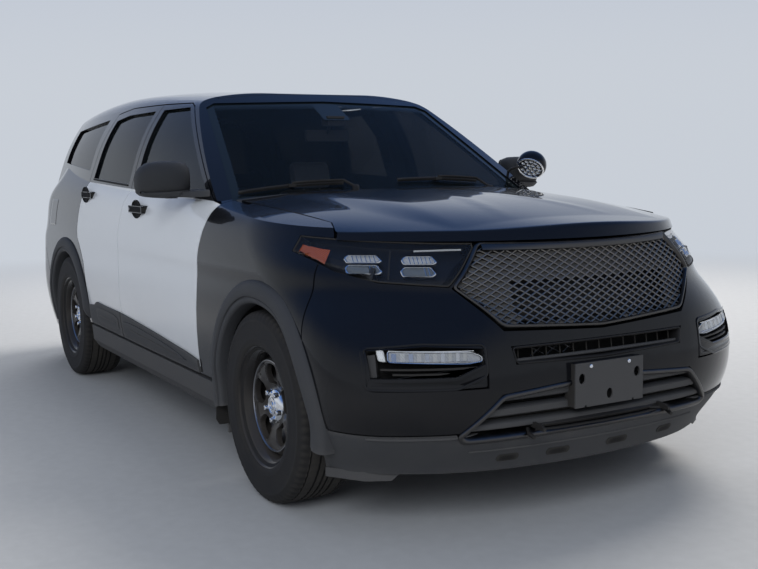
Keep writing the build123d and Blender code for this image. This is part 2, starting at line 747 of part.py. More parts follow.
with BuildPart() as body_side:
    add(left_wall.part)
    add(block(*SIDE_LIMITS), mode=Mode.INTERSECT)
    for low, high in SIDE_NOTCHES:
        add(block(low, high), mode=Mode.SUBTRACT)
    add(plan_prism(ROOF_HALF, 0, 1600, ABOVE), mode=Mode.SUBTRACT)
    add(side_prism(FENDER, PANEL_GAP, FENDER_INNER), mode=Mode.SUBTRACT)
    add(side_prism(FUEL_FLAP, PANEL_GAP, FLAP_INNER), mode=Mode.SUBTRACT)
    add(fender_crest.part, mode=Mode.SUBTRACT)
    add(side_prism(FRONT_DOOR, PANEL_GAP), mode=Mode.SUBTRACT)
    add(side_prism(REAR_DOOR, PANEL_GAP), mode=Mode.SUBTRACT)
    add(side_prism(QUARTER_WINDOW), mode=Mode.SUBTRACT)
    add(side_prism(TAIL_LAMP), mode=Mode.SUBTRACT)
    add(front_prism(TAILGATE_HALF, PANEL_GAP, BEHIND, TAILGATE_FRONT_X + PANEL_GAP), mode=Mode.SUBTRACT)
    add(side_prism(BUMPER_REAR, PANEL_GAP), mode=Mode.SUBTRACT)
    add(front_prism(SCREEN_OUTLINE, 0, 100, 1600), mode=Mode.SUBTRACT)
    add(wheel_space, mode=Mode.SUBTRACT)
    add(section_prism(PILLAR, PILLAR_X - PILLAR_HALF, PILLAR_X + PILLAR_HALF))
save(body_side.part, "body_side_left")
save(mirror(body_side.part, about=Plane.XZ), "body_side_right")

with BuildPart() as fenders:
    add(front_skin.part)
    add(side_prism(FENDER), mode=Mode.INTERSECT)
    add(plan_prism(BONNET_HALF, PANEL_GAP / 2, 1040, 1400), mode=Mode.SUBTRACT)
    add(block(*FENDER_NOTCH), mode=Mode.SUBTRACT)
    add(front_prism(SCREEN_OUTLINE, 2, 900, 1200), mode=Mode.SUBTRACT)
    add(front_prism(HEADLAMP, PANEL_GAP / 2, LAMP_BACK, AHEAD), mode=Mode.SUBTRACT)
    add(wheel_space, mode=Mode.SUBTRACT)
save(fenders.part, "front_fenders")

with BuildPart() as front_bumper:
    add(front_skin.part)
    add(block(*BUMPER_LIMITS), mode=Mode.INTERSECT)
    add(side_prism(FENDER, PANEL_GAP), mode=Mode.SUBTRACT)
    for half in (HEADLAMP, RUNNING_LAMP, GRILLE_HALF, SLOT_HALF, INTAKE_HALF):
        add(front_prism(half, PANEL_GAP / 2, LAMP_BACK, AHEAD), mode=Mode.SUBTRACT)
    add(wheel_space, mode=Mode.SUBTRACT)
save(front_bumper.part, "front_bumper")

with BuildPart() as front_valance:
    add(front_skin.part)
    add(block(*VALANCE_LIMITS), mode=Mode.INTERSECT)
    add(front_prism(INTAKE_HALF, PANEL_GAP / 2, LAMP_BACK, AHEAD), mode=Mode.SUBTRACT)
    add(wheel_space, mode=Mode.SUBTRACT)
save(front_valance.part, "front_valance")

with BuildPart() as rear_bumper:
    add(lower_outer)
    add(side_prism(BUMPER_REAR), mode=Mode.INTERSECT)
    add(lower_form(TAIL_WALL), mode=Mode.SUBTRACT)
    add(wheel_space, mode=Mode.SUBTRACT)
save(rear_bumper.part, "rear_bumper")

with BuildPart() as tail_lamp:
    add(left_wall.part)
    add(side_prism(TAIL_LAMP), mode=Mode.INTERSECT)
    add(front_prism(TAILGATE_HALF, PANEL_GAP, BEHIND, -2000), mode=Mode.SUBTRACT)
save(both_sides(tail_lamp.part), "tail_lamps")

# Wheel flares, sill strips and splash guards
with BuildPart() as flares:
    for x in (FRONT_AXLE_X, REAR_AXLE_X):
        with Locations((x, FLARE_MIDDLE_Y, TYRE_RADIUS)):
            Cylinder(FLARE_RADIUS, FLARE_DEPTH, rotation=(90, 0, 0))
            Cylinder(
                ARCH_RADIUS - PANEL_GAP, FLARE_DEPTH, rotation=(90, 0, 0), mode=Mode.SUBTRACT
            )
    add(block((BEHIND, 0, -200), (AHEAD, BEYOND, FLARE_FOOT_Z)), mode=Mode.SUBTRACT)
    add(lower_outer, mode=Mode.SUBTRACT)
save(both_sides(flares.part), "arch_flares")

with BuildPart() as sill:
    add(section_prism(SILL, *SILL_SPAN))
    for low, high in SILL_ENDS:
        add(block(low, high))
save(both_sides(sill.part), "sill_cladding")

# Lamps, grille and intake
lamp_core = lower_form(LAMP_DEPTH)

with BuildPart() as front_lamps:
    add(body_form.part)
    add(front_prism(HEADLAMP, 0, LAMP_BACK + PANEL_GAP, AHEAD), mode=Mode.INTERSECT)
    add(lamp_core, mode=Mode.SUBTRACT)
save(front_lamps.part, "headlamps")

with BuildPart() as running_lamps:
    add(lower_form(LENS_INSET))
    add(front_prism(RUNNING_LAMP, 0, 2000, AHEAD), mode=Mode.INTERSECT)
    add(lamp_core, mode=Mode.SUBTRACT)
save(running_lamps.part, "running_lamps")

with BuildPart() as grille:
    add(lower_form(GRILLE_INSET))
    add(front_prism(GRILLE_HALF, 0, 2200, AHEAD), mode=Mode.INTERSECT)
    add(lamp_core, mode=Mode.SUBTRACT)
save(grille.part, "grille")

with BuildPart() as intake:
    add(lower_form(GRILLE_INSET))
    add(front_prism(INTAKE_HALF, 0, 2200, AHEAD), mode=Mode.INTERSECT)
    add(lamp_core, mode=Mode.SUBTRACT)
    for z in SLAT_GAPS_Z:
        add(block((2100, -SLAT_HALF, z), (AHEAD, SLAT_HALF, z + SLAT_GAP)), mode=Mode.SUBTRACT)
save(intake.part, "lower_intake")

with BuildPart() as plate_bracket:
    add(side_prism(PLATE_SIDE, 0, 0, PLATE_HALF))
    for y, z in PLATE_HOLES:
        with Locations((PLATE_SIDE[0][0], y, z)):
            Cylinder(*PLATE_HOLE, rotation=(0, 90, 0), mode=Mode.SUBTRACT)
    add(front_bumper.part, mode=Mode.SUBTRACT)
    add(intake.part, mode=Mode.SUBTRACT)
save(plate_bracket.part, "plate_bracket")

with BuildPart() as crossbar:
    add(block(*CROSSBAR))
    add(both_sides(block(*CROSSBAR_ARM)))
    add(intake.part, mode=Mode.SUBTRACT)
save(crossbar.part, "crossbar")

# Fixed glass
with BuildPart() as windscreen:
    add(cabin_outer)
    add(screen_form(GLASS_DEPTH), mode=Mode.SUBTRACT)
    add(screen_form(GLASS_DEPTH + SCREEN_THICK), mode=Mode.INTERSECT)
    add(front_prism(SCREEN_OUTLINE, 0, 100, 1600), mode=Mode.INTERSECT)
save(windscreen.part, "windscreen")

with BuildPart() as quarter_glass:
    add(left_glass.part)
    add(side_prism(QUARTER_WINDOW), mode=Mode.INTERSECT)
save(both_sides(quarter_glass.part), "quarter_glass")

# Floor, firewall and wheel wells
with BuildPart() as floor_pan:
    add(side_prism(FLOOR, 0, 0, FLOOR_HALF))
    add(side_prism(FIREWALL, 0, 0, FLOOR_HALF))
    add(block(*FLOOR_TAIL))
    add(wheel_space, mode=Mode.SUBTRACT)
save(floor_pan.part, "floor_pan")

with BuildPart() as wheel_wells:
    skin, rim_sheet = WELL_SHEET
    for x, inner in WELLS:
        for side in (-1, 1):
            with Locations((x, side * (inner + WELL_OUTER) / 2, TYRE_RADIUS)):
                Cylinder(ARCH_RADIUS - 1, WELL_OUTER - inner, rotation=(90, 0, 0))
            with Locations((x, side * (inner + skin + WELL_OUTER + 20) / 2, TYRE_RADIUS)):
                Cylinder(
                    ARCH_RADIUS - 1 - rim_sheet,
                    WELL_OUTER + 20 - inner - skin,
                    rotation=(90, 0, 0),
                    mode=Mode.SUBTRACT,
                )
    add(block((BEHIND, -BEYOND, -200), (AHEAD, BEYOND, WELL_FOOT_Z)), mode=Mode.SUBTRACT)
save(wheel_wells.part, "wheel_wells")

# Running gear
with BuildPart() as tyre:
    with BuildSketch(Plane.XZ):
        with BuildLine():
            Polyline(*TYRE_SECTION, close=True)
        make_face()
    revolve(axis=Axis.Z)

with BuildPart() as rim:
    with BuildSketch(Plane.XZ):
        with BuildLine():
            Polyline(*RIM_SECTION, close=True)
        make_face()
    revolve(axis=Axis.Z)
    with BuildSketch():
        with PolarLocations(0, RIM_WINDOW_COUNT):
            Polygon(*RIM_WINDOW, align=None)
        fillet(vertices(), RIM_WINDOW_CORNER)
    extrude(amount=RIM_REACH, both=True, mode=Mode.SUBTRACT)

for end, x in (("front", FRONT_AXLE_X), ("rear", REAR_AXLE_X)):
    for hand, side in (("left", 1), ("right", -1)):
        spot = Location((x, side * HALF_TRACK, TYRE_RADIUS), (-90 * side, 0, 0))
        save(rim.part.moved(spot), f"rim_{end}_{hand}")
        save(tyre.part.moved(spot), f"tyre_{end}_{hand}")

with BuildPart() as knuckle:
    with Locations(HUB[0]):
        Cylinder(*HUB[1], rotation=(90, 0, 0))
    for middle, size in (UPRIGHT, STEERING_ARM):
        with Locations(middle):
            Box(*size)
save(knuckle.part, "front_knuckle_left")
save(mirror(knuckle.part, about=Plane.XZ), "front_knuckle_right")

for name, member, bars in (
    ("front_subframe", FRONT_MEMBER, FRONT_BARS),
    ("rear_subframe", REAR_MEMBER, REAR_BARS),
):
    with BuildPart() as subframe:
        add(block(*member))
        for start, end, radius in bars:
            add(both_sides(rod(start, end, radius)))
    save(subframe.part, name)

with BuildPart() as exhaust:
    add(rod(*EXHAUST_PIPE))
    add(block(*SILENCER))
save(exhaust.part, "exhaust")

# Plain blocks: engine with its gearbox, cooling pack and load floor
for name, corners in (
    ("engine_block", ENGINE),
    ("radiator", COOLING_PACK),
    ("load_panel", LOAD_PANEL),
):
    save(block(*corners), name)

# Cabin
save(side_prism(DASH, 0, 0, DASH_HALF), "dashboard")

with BuildPart() as seats:
    for low, high in CUSHIONS:
        add(block(low, high))
    for middle, size, lean in BACKS:
        with Locations(Location(middle, (0, lean, 0))):
            Box(*size)
save(seats.part, "seats")

with BuildPart() as steering_wheel:
    with Locations(Location(STEERING_PLACE, (0, STEERING_LEAN, 0))):
        Torus(*STEERING_RING)
        Cylinder(*STEERING_BOSS)
        Box(*STEERING_SPOKE)
save(steering_wheel.part, "steering_wheel")

# Outside fittings
with BuildPart() as door_mirror:
    with Locations(MIRROR_SHELL[0]):
        Box(*MIRROR_SHELL[1])
    fillet(door_mirror.edges(), MIRROR_CORNER)
    add(block(*MIRROR_ARM))
save(door_mirror.part, "mirror_left")
save(mirror(door_mirror.part, about=Plane.XZ), "mirror_right")

with BuildPart() as spotlight:
    rim_front = (SPOTLIGHT_RIM, SPOTLIGHT_HALF_DEPTH)
    shoulder, crown = SPOTLIGHT_BACK
    with BuildSketch(Plane.XZ):
        with BuildLine():
            Line((0, SPOTLIGHT_HALF_DEPTH), rim_front)
            Line(rim_front, (SPOTLIGHT_RIM, 0))
            ThreePointArc((SPOTLIGHT_RIM, 0), shoulder, crown)
            Line(crown, (0, crown[1]))
            Line((0, crown[1]), (0, SPOTLIGHT_HALF_DEPTH))
        make_face()
    revolve(axis=Axis.Z)
spotlight_place = Location(SPOTLIGHT_PLACE, (0, SPOTLIGHT_TURN, 0))
save(spotlight.part.moved(spotlight_place), "spotlight")
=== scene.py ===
"""Police SUV: paint, glass, lamps, wheels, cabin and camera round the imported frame."""

import logging
import math
from dataclasses import dataclass, field
from enum import Enum
from typing import Callable, Iterable, Optional, Sequence, Union

import bmesh
import bpy
import numpy
from mathutils import Matrix, Vector
from mathutils.bvhtree import BVHTree


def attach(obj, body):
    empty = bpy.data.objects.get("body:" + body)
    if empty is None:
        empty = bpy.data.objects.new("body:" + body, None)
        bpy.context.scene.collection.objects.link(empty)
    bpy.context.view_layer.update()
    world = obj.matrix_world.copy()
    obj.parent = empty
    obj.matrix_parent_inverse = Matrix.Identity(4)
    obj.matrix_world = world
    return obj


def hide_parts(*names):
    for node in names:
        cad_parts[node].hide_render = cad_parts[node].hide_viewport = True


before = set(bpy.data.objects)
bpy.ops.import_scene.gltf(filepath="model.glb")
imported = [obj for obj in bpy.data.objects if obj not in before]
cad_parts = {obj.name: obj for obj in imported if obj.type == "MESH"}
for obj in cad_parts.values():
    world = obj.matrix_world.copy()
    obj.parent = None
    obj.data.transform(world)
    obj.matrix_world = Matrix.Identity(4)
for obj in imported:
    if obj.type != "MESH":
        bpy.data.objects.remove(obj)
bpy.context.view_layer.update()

Colour = tuple[float, float, float]
Place = tuple[float, float, float]
Points = Sequence[Vector]
Outline = Sequence[tuple[float, float]]
Stations = Sequence[Place]
Sections = Sequence[tuple[float, float, float, float, float]]
Column = list[tuple[Vector, Vector]]

SIDES = {"left": 1.0, "right": -1.0}
FRONT_AXLE_X = 1.630
REAR_AXLE_X = -1.395
HALF_TRACK = 0.8495
TYRE_RADIUS = 0.3815
HORIZON = (0.58, 0.62, 0.68)
PAINT_BLACK = (0.0052, 0.0058, 0.0078)
UP = Vector((0, 0, 1))
FACING_NOSE = Matrix(((0, 0, 1), (1, 0, 0), (0, 1, 0))).to_4x4()

log = logging.getLogger("police_suv")


class Edge(Enum):
    """How the edges of a piece are finished."""

    SMOOTH = 180.0
    SOFT = 50.0
    CRISP = 30.0


class Value:
    """Number socket of a shader that adds Math nodes when it is used in an expression."""

    def __init__(self, shade: "Shade", socket: bpy.types.NodeSocket) -> None:
        """Wrap the socket.

        Args:
            shade: Shader that holds the socket's node.
            socket: Output that carries a number.
        """
        self.shade = shade
        self.socket = socket

    def _math(self, operation: str, *values: Union["Value", float]) -> "Value":
        """Add one Math node.

        Args:
            operation: Name of the operation.
            values: Its operands in order.

        Returns:
            The node's result.
        """
        node = self.shade.node("ShaderNodeMath", {"operation": operation}, dict(enumerate(values)))
        return Value(self.shade, node.outputs[0])

    def __add__(self, other: Union["Value", float]) -> "Value":
        """Sum."""
        return self._math("ADD", self, other)

    __radd__ = __add__

    def __sub__(self, other: Union["Value", float]) -> "Value":
        """Difference."""
        return self._math("SUBTRACT", self, other)

    def __rsub__(self, other: float) -> "Value":
        """Difference from a number."""
        return self._math("SUBTRACT", other, self)

    def __mul__(self, other: Union["Value", float]) -> "Value":
        """Product."""
        return self._math("MULTIPLY", self, other)

    __rmul__ = __mul__

    def __abs__(self) -> "Value":
        """Size without the sign."""
        return self._math("ABSOLUTE", self)

    def __mod__(self, other: float) -> "Value":
        """Remainder, the same way below zero."""
        return self._math("FLOORED_MODULO", self, other)

    def least(self, other: Union["Value", float]) -> "Value":
        """The smaller of two numbers."""
        return self._math("MINIMUM", self, other)

    def most(self, other: Union["Value", float]) -> "Value":
        """The larger of two numbers."""
        return self._math("MAXIMUM", self, other)

    def rise(self, low: float, high: float) -> "Value":
        """Smooth step from 0 at low to 1 at high.

        Args:
            low: Number that gives 0.
            high: Number that gives 1.

        Returns:
            The stepped number.
        """
        settings = {"interpolation_type": "SMOOTHSTEP"}
        node = self.shade.node("ShaderNodeMapRange", settings, {0: self, 1: low, 2: high})
        return Value(self.shade, node.outputs[0])


class Shade:
    """Node tree of one material, with a Principled shader at its end."""

    def __init__(self, name: str) -> None:
        """Start an empty material.

        Args:
            name: Name of the material.
        """
        self.material = bpy.data.materials.new(name)
        self.material.use_nodes = True
        self.tree = self.material.node_tree
        self.tree.nodes.clear()
        self.end = self.node("ShaderNodeOutputMaterial")
        self.main = self.node("ShaderNodeBsdfPrincipled")
        self.tree.links.new(self.main.outputs[0], self.end.inputs[0])

    def node(
        self, kind: str, settings: Optional[dict] = None, inputs: Optional[dict] = None
    ) -> bpy.types.Node:
        """Add a node.

        Args:
            kind: Type of the node.
            settings: Its properties, set before the sockets; stops are a ramp's colours.
            inputs: Numbers, colours or sockets by input name or number.

        Returns:
            The new node.
        """
        made = self.tree.nodes.new(kind)
        for name, setting in (settings or {}).items():
            if name == "stops":
                for index, (place, colour) in enumerate(setting):
                    stops = made.color_ramp.elements
                    stop = stops[index] if index < len(stops) else stops.new(place)
                    stop.position, stop.color = place, (*colour, 1.0)
            else:
                setattr(made, name, setting)
        for key, given in (inputs or {}).items():
            link = getattr(given, "socket", given)
            if isinstance(link, bpy.types.NodeSocket):
                self.tree.links.new(link, made.inputs[key])
            else:
                made.inputs[key].default_value = link
        return made

    def place(self) -> tuple[Value, Value, Value]:
        """The point's x, y and z in the part's frame, in metres."""
        node = self.node("ShaderNodeTexCoord")
        split = self.node("ShaderNodeSeparateXYZ", {}, {0: node.outputs["Object"]})
        return tuple(Value(self, split.outputs[i]) for i in range(3))

    def texture(self, kind: str, **inputs: float) -> Value:
        """First output of a texture laid over the object in metres."""
        node = self.node("ShaderNodeTexCoord")
        inputs = {"Vector": node.outputs["Object"], **inputs}
        return Value(self, self.node(kind, {}, inputs).outputs[0])

    def noise(self, scale: float, detail: float) -> Value:
        """Soft noise around one half, with so many waves to the metre and octaves."""
        return self.texture("ShaderNodeTexNoise", Scale=scale, Detail=detail)

    def cells(self, scale: float) -> Value:
        """Distance to the nearest of scattered points, as grain or facets."""
        return self.texture("ShaderNodeTexVoronoi", Scale=scale)

    def edge_wear(self) -> Value:
        """How sharply the surface bends, above one half on ridges."""
        return Value(self, self.node("ShaderNodeNewGeometry").outputs["Pointiness"])

    def mix(self, factor: Value, low: object, high: object) -> bpy.types.NodeSocket:
        """Blend two colours.

        Args:
            factor: 0 gives the first and 1 the second.
            low: First colour or socket.
            high: Second colour or socket.

        Returns:
            The blended colour.
        """
        low, high = ((*c, 1.0) if isinstance(c, tuple) else c for c in (low, high))
        node = self.node("ShaderNodeMix", {"data_type": "RGBA"}, {0: factor, 6: low, 7: high})
        return node.outputs[2]

    def bump(self, height: Value, depth: float, strength: float) -> None:
        """Raise the surface by a height field.

        Args:
            height: Height from 0 to 1.
            depth: Metres that 1 stands for.
            strength: Share of the effect.
        """
        inputs = {"Strength": strength, "Distance": depth, "Height": height}
        node = self.node("ShaderNodeBump", {}, inputs)
        self.tree.links.new(node.outputs[0], self.main.inputs["Normal"])

    def set(self, **inputs: object) -> "Shade":
        """Set sockets of the main shader, with underscores for spaces in their names."""
        for name, given in inputs.items():
            socket = self.main.inputs[name.replace("_", " ")]
            link = getattr(given, "socket", given)
            if isinstance(link, bpy.types.NodeSocket):
                self.tree.links.new(link, socket)
            elif isinstance(link, tuple) and len(link) == 3 and len(socket.default_value) == 4:
                socket.default_value = (*link, 1.0)
            else:
                socket.default_value = link
        return self


@dataclass(frozen=True)
class GlossPaint:
    """Sprayed and lacquered body paint with road dust low down.

    Attributes:
        colour: Paint colour.
        dust: Share of dust at the sills.
    """

    colour: Colour = PAINT_BLACK
    dust: float = 0.16

    def material(self, name: str) -> bpy.types.Material:
        """Build the material."""
        shade = Shade(name)
        _, _, z = shade.place()
        drift = shade.noise(3.0, 5.0)
        film = (1 - z.rise(0.22, 0.75)) * self.dust * drift + 0.012 * drift
        colour = shade.mix(film, self.colour, (0.16, 0.14, 0.12))
        shade.set(Base_Color=colour, Roughness=0.20 + 0.5 * film, Metallic=0.0)
        shade.set(Coat_Weight=1 - film, Coat_Roughness=0.03, Coat_IOR=1.30, Specular_IOR_Level=0.04)
        shade.bump(shade.noise(220.0, 1.0), 0.00004, 0.4)
        return shade.material


@dataclass(frozen=True)
class DoorPaint:
    """White door skin between a black window frame and black inner faces.

    Attributes:
        white: Colour of the outer skin.
        black: Colour of the frame, the inside and the edges.
        belt: Height of the belt line at x = 0.
        belt_slope: Rise of the belt line per metre towards the nose.
        skin: Least distance of the outer skin from the middle plane.
        pulls: (x, z) of the middle of each door's black handle.
        pull_size: Half length and half height of a handle.
    """

    white: Colour = (0.80, 0.81, 0.82)
    black: Colour = PAINT_BLACK
    belt: float = 1.197
    belt_slope: float = -0.032
    skin: float = 0.872
    pulls: Outline = ((0.082, 1.106), (-0.958, 1.158))
    pull_size: tuple[float, float] = (0.1112, 0.0190)

    def material(self, name: str) -> bpy.types.Material:
        """Build the material."""
        shade = Shade(name)
        x, y, z = shade.place()
        belt = self.belt + x * self.belt_slope
        outer = (abs(y) - self.skin).rise(0.0, 0.004)
        below = 1 - (z - belt).rise(-0.001, 0.001)
        skin = below * outer
        for pull_x, pull_z in self.pulls:
            long = (self.pull_size[0] - abs(x - pull_x)).rise(0.0, 0.0004)
            high = (self.pull_size[1] - abs(z - pull_z)).rise(0.0, 0.0004)
            skin = skin * (1 - long * high)
        drift = shade.noise(2.5, 5.0)
        film = (1 - z.rise(0.35, 0.8)) * 0.28 * drift
        colour = shade.mix(skin, self.black, self.white)
        colour = shade.mix(film, colour, (0.30, 0.27, 0.23))
        shade.set(Base_Color=colour, Roughness=0.22 + 0.4 * film, Metallic=0.0)
        shade.set(Coat_Weight=1 - film, Coat_Roughness=0.04, Coat_IOR=1.30, Specular_IOR_Level=0.04)
        shade.bump(shade.noise(220.0, 1.0), 0.00004, 0.4)
        return shade.material


@dataclass(frozen=True)
class GrainedPlastic:
    """Moulded plastic with a leather-like grain and grey bloom on its ridges.

    Attributes:
        colour: Plastic colour.
        rough: Roughness.
        grain: Grains to the metre.
        depth: Grain depth in metres.
        dust: Share of dust low down.
        shine: Strength of its highlights.
    """

    colour: Colour = (0.028, 0.029, 0.031)
    rough: float = 0.55
    grain: float = 420.0
    depth: float = 0.0003
    dust: float = 0.14
    shine: float = 0.30

    def material(self, name: str) -> bpy.types.Material:
        """Build the material."""
        shade = Shade(name)
        _, _, z = shade.place()
        drift = shade.noise(6.0, 6.0)
        film = ((1 - z.rise(0.15, 0.8)) * self.dust + 0.05) * drift
        wear = shade.edge_wear().rise(0.52, 0.60) * 0.12
        colour = shade.mix(film + wear, self.colour, (0.22, 0.20, 0.175))
        shade.set(Base_Color=colour, Roughness=self.rough + 0.15 * drift, Specular_IOR_Level=self.shine)
        shade.bump(shade.cells(self.grain), self.depth, 0.6)
        return shade.material


@dataclass(frozen=True)
class BareMetal:
    """Metal from polished to cast.

    Attributes:
        colour: Reflected colour.
        rough: Roughness.
        grime: Share of dark grime.
        grain: Scale of its bump.
    """

    colour: Colour = (0.85, 0.86, 0.87)
    rough: float = 0.08
    grime: float = 0.12
    grain: float = 90.0

    def material(self, name: str) -> bpy.types.Material:
        """Build the material."""
        shade = Shade(name)
        drift = shade.noise(self.grain / 4, 5.0)
        film = drift.rise(0.45, 0.75) * self.grime
        colour = shade.mix(film, self.colour, (0.10, 0.085, 0.07))
        shade.set(Base_Color=colour, Roughness=self.rough + 0.5 * film, Metallic=1 - 0.6 * film)
        shade.bump(shade.noise(self.grain, 3.0), 0.0002, 0.25)
        return shade.material


@dataclass(frozen=True)
class Glazing:
    """Tinted pane with a printed black border.

    Attributes:
        colour: Tint.
        solid: Share of light held back.
        border: Gives the border's mask from the shader, or nothing for none.
    """

    colour: Colour = (0.012, 0.016, 0.018)
    solid: float = 0.62
    border: Optional[Callable[[Shade], Value]] = None

    def material(self, name: str) -> bpy.types.Material:
        """Build the material."""
        shade = Shade(name)
        haze = shade.noise(2.2, 4.0).rise(0.35, 0.9)
        alpha = self.solid + 0.06 * haze
        if self.border:
            alpha = alpha.most(self.border(shade))
        shade.set(
            Base_Color=self.colour, Roughness=0.02 + 0.03 * haze, Alpha=alpha, Specular_IOR_Level=0.20)
        return shade.material


@dataclass(frozen=True)
class TyreRubber:
    """Dusty tyre rubber, browner on the tread."""

    def material(self, name: str) -> bpy.types.Material:
        """Build the material."""
        shade = Shade(name)
        drift = shade.noise(14.0, 6.0)
        wear = shade.edge_wear().rise(0.50, 0.58)
        film = (0.35 * drift + 0.35 * wear).least(1.0)
        colour = shade.mix(film, (0.010, 0.010, 0.011), (0.085, 0.075, 0.062))
        shade.set(Base_Color=colour, Roughness=0.72 + 0.2 * drift, Specular_IOR_Level=0.35)
        shade.bump(shade.noise(700.0, 2.0), 0.0003, 0.5)
        return shade.material


@dataclass(frozen=True)
class WovenCloth:
    """Dark woven seat cloth with a raised rib.

    Attributes:
        colour: Yarn colour.
        pitch: Threads to the metre.
    """

    colour: Colour = (0.022, 0.022, 0.025)
    pitch: float = 380.0

    def material(self, name: str) -> bpy.types.Material:
        """Build the material."""
        shade = Shade(name)
        x, y, z = shade.place()
        warp = abs((y * self.pitch) % 1.0 - 0.5)
        weft = abs(((x + z) * self.pitch) % 1.0 - 0.5)
        thread = warp + weft
        drift = shade.noise(30.0, 4.0)
        colour = shade.mix(thread * drift, self.colour, (0.09, 0.09, 0.10))
        shade.set(Base_Color=colour, Roughness=0.9, Sheen_Weight=0.35, Sheen_Roughness=0.5)
        shade.bump(thread, 0.0006, 0.7)
        return shade.material


@dataclass(frozen=True)
class MouldedLens:
    """Clear or coloured lamp plastic.

    Attributes:
        colour: Lens colour.
        solid: Share of light held back.
        ribs: Flutes to the metre, or 0 for a plain lens.
        glow: Faint light of reflectors behind it.
    """

    colour: Colour = (0.05, 0.055, 0.06)
    solid: float = 0.30
    ribs: float = 0.0
    glow: float = 0.0

    def material(self, name: str) -> bpy.types.Material:
        """Build the material."""
        shade = Shade(name)
        drift = shade.noise(40.0, 3.0)
        shade.set(Base_Color=self.colour, Alpha=self.solid + 0.04 * drift)
        shade.set(Roughness=0.03 + 0.02 * drift, Coat_Weight=0.8, Coat_Roughness=0.01)
        if self.ribs:
            _, y, z = shade.place()
            flutes = abs(((y + 0.6 * z) * self.ribs) % 1.0 - 0.5)
            shade.bump(flutes, 0.003, 0.8)
        if self.glow:
            shade.set(Emission_Color=self.colour, Emission_Strength=self.glow)
        return shade.material


class Library:
    """Materials by name, each built once."""

    FINISHES = {
        "black_paint": GlossPaint(),
        "jamb_black": GlossPaint(dust=0.15),
        "door_white": DoorPaint(),
        "wheel_black": GlossPaint((0.006, 0.006, 0.007), 0.5),
        "grain_dark": GrainedPlastic(),
        "grain_grey": GrainedPlastic((0.046, 0.047, 0.050), 0.6),
        "satin_black": GrainedPlastic((0.007, 0.007, 0.008), 0.42, 900.0, 0.0001, 0.08, 0.2),
        "pit_black": GrainedPlastic((0.003, 0.003, 0.003), 0.8, 300.0, 0.0001, 0.1),
        "seal_rubber": GrainedPlastic((0.007, 0.007, 0.007), 0.7, 900.0, 0.0001, 0.1),
        "trim_cabin": GrainedPlastic((0.020, 0.020, 0.022), 0.6, 600.0, 0.0003, 0.0),
        "chrome": BareMetal(rough=0.06, grime=0.18),
        "satin_metal": BareMetal((0.34, 0.34, 0.35), 0.32, 0.1, 60.0),
        "grille_wire": BareMetal((0.26, 0.245, 0.225), 0.38, 0.25, 120.0),
        "grille_scale": GrainedPlastic((0.105, 0.099, 0.092), 0.40, 500.0, 0.0001, 0.10),
        "steel_plain": BareMetal((0.28, 0.28, 0.29), 0.45, 0.6, 50.0),
        "iron": BareMetal((0.16, 0.15, 0.14), 0.6, 0.8, 120.0),
        "disc_steel": BareMetal((0.45, 0.44, 0.43), 0.28, 0.3, 200.0),
        "satin_bronze": BareMetal((0.090, 0.087, 0.085), 0.34, 0.15, 80.0),
        "lamp_black": GrainedPlastic((0.004, 0.004, 0.005), 0.25, 900.0, 0.00005, 0.0),
        "side_glass": Glazing((0.006, 0.009, 0.010), 0.86),
        "rear_glass": Glazing((0.005, 0.006, 0.007), 0.93),
        "lamp_clear": MouldedLens((0.02, 0.022, 0.026), 0.22),
        "lamp_bulb": MouldedLens((0.30, 0.34, 0.38), 0.55),
        "lamp_flutes": MouldedLens((0.75, 0.76, 0.78), 0.80, 90.0),
        "lamp_amber": MouldedLens((0.50, 0.10, 0.01), 0.95, 150.0),
        "lamp_red": MouldedLens((0.28, 0.006, 0.008), 0.96, 60.0),
        "lamp_red_lit": MouldedLens((0.42, 0.012, 0.014), 0.96, 160.0),
        "lamp_white": MouldedLens((0.78, 0.78, 0.76), 0.95, 120.0),
        "mirror_face": BareMetal((0.80, 0.82, 0.84), 0.02, 0.05, 20.0),
        "tyre_rubber": TyreRubber(),
        "seat_cloth": WovenCloth(),
        "headrest_cloth": WovenCloth((0.20, 0.21, 0.23)),
    }

    def __init__(self) -> None:
        """Start with no material built."""
        self.made: dict[str, bpy.types.Material] = {}

    def get(self, name: str) -> bpy.types.Material:
        """Material of that name, built on first use."""
        if name not in self.made:
            self.made[name] = self.FINISHES[name].material(name)
        return self.made[name]


library = Library()


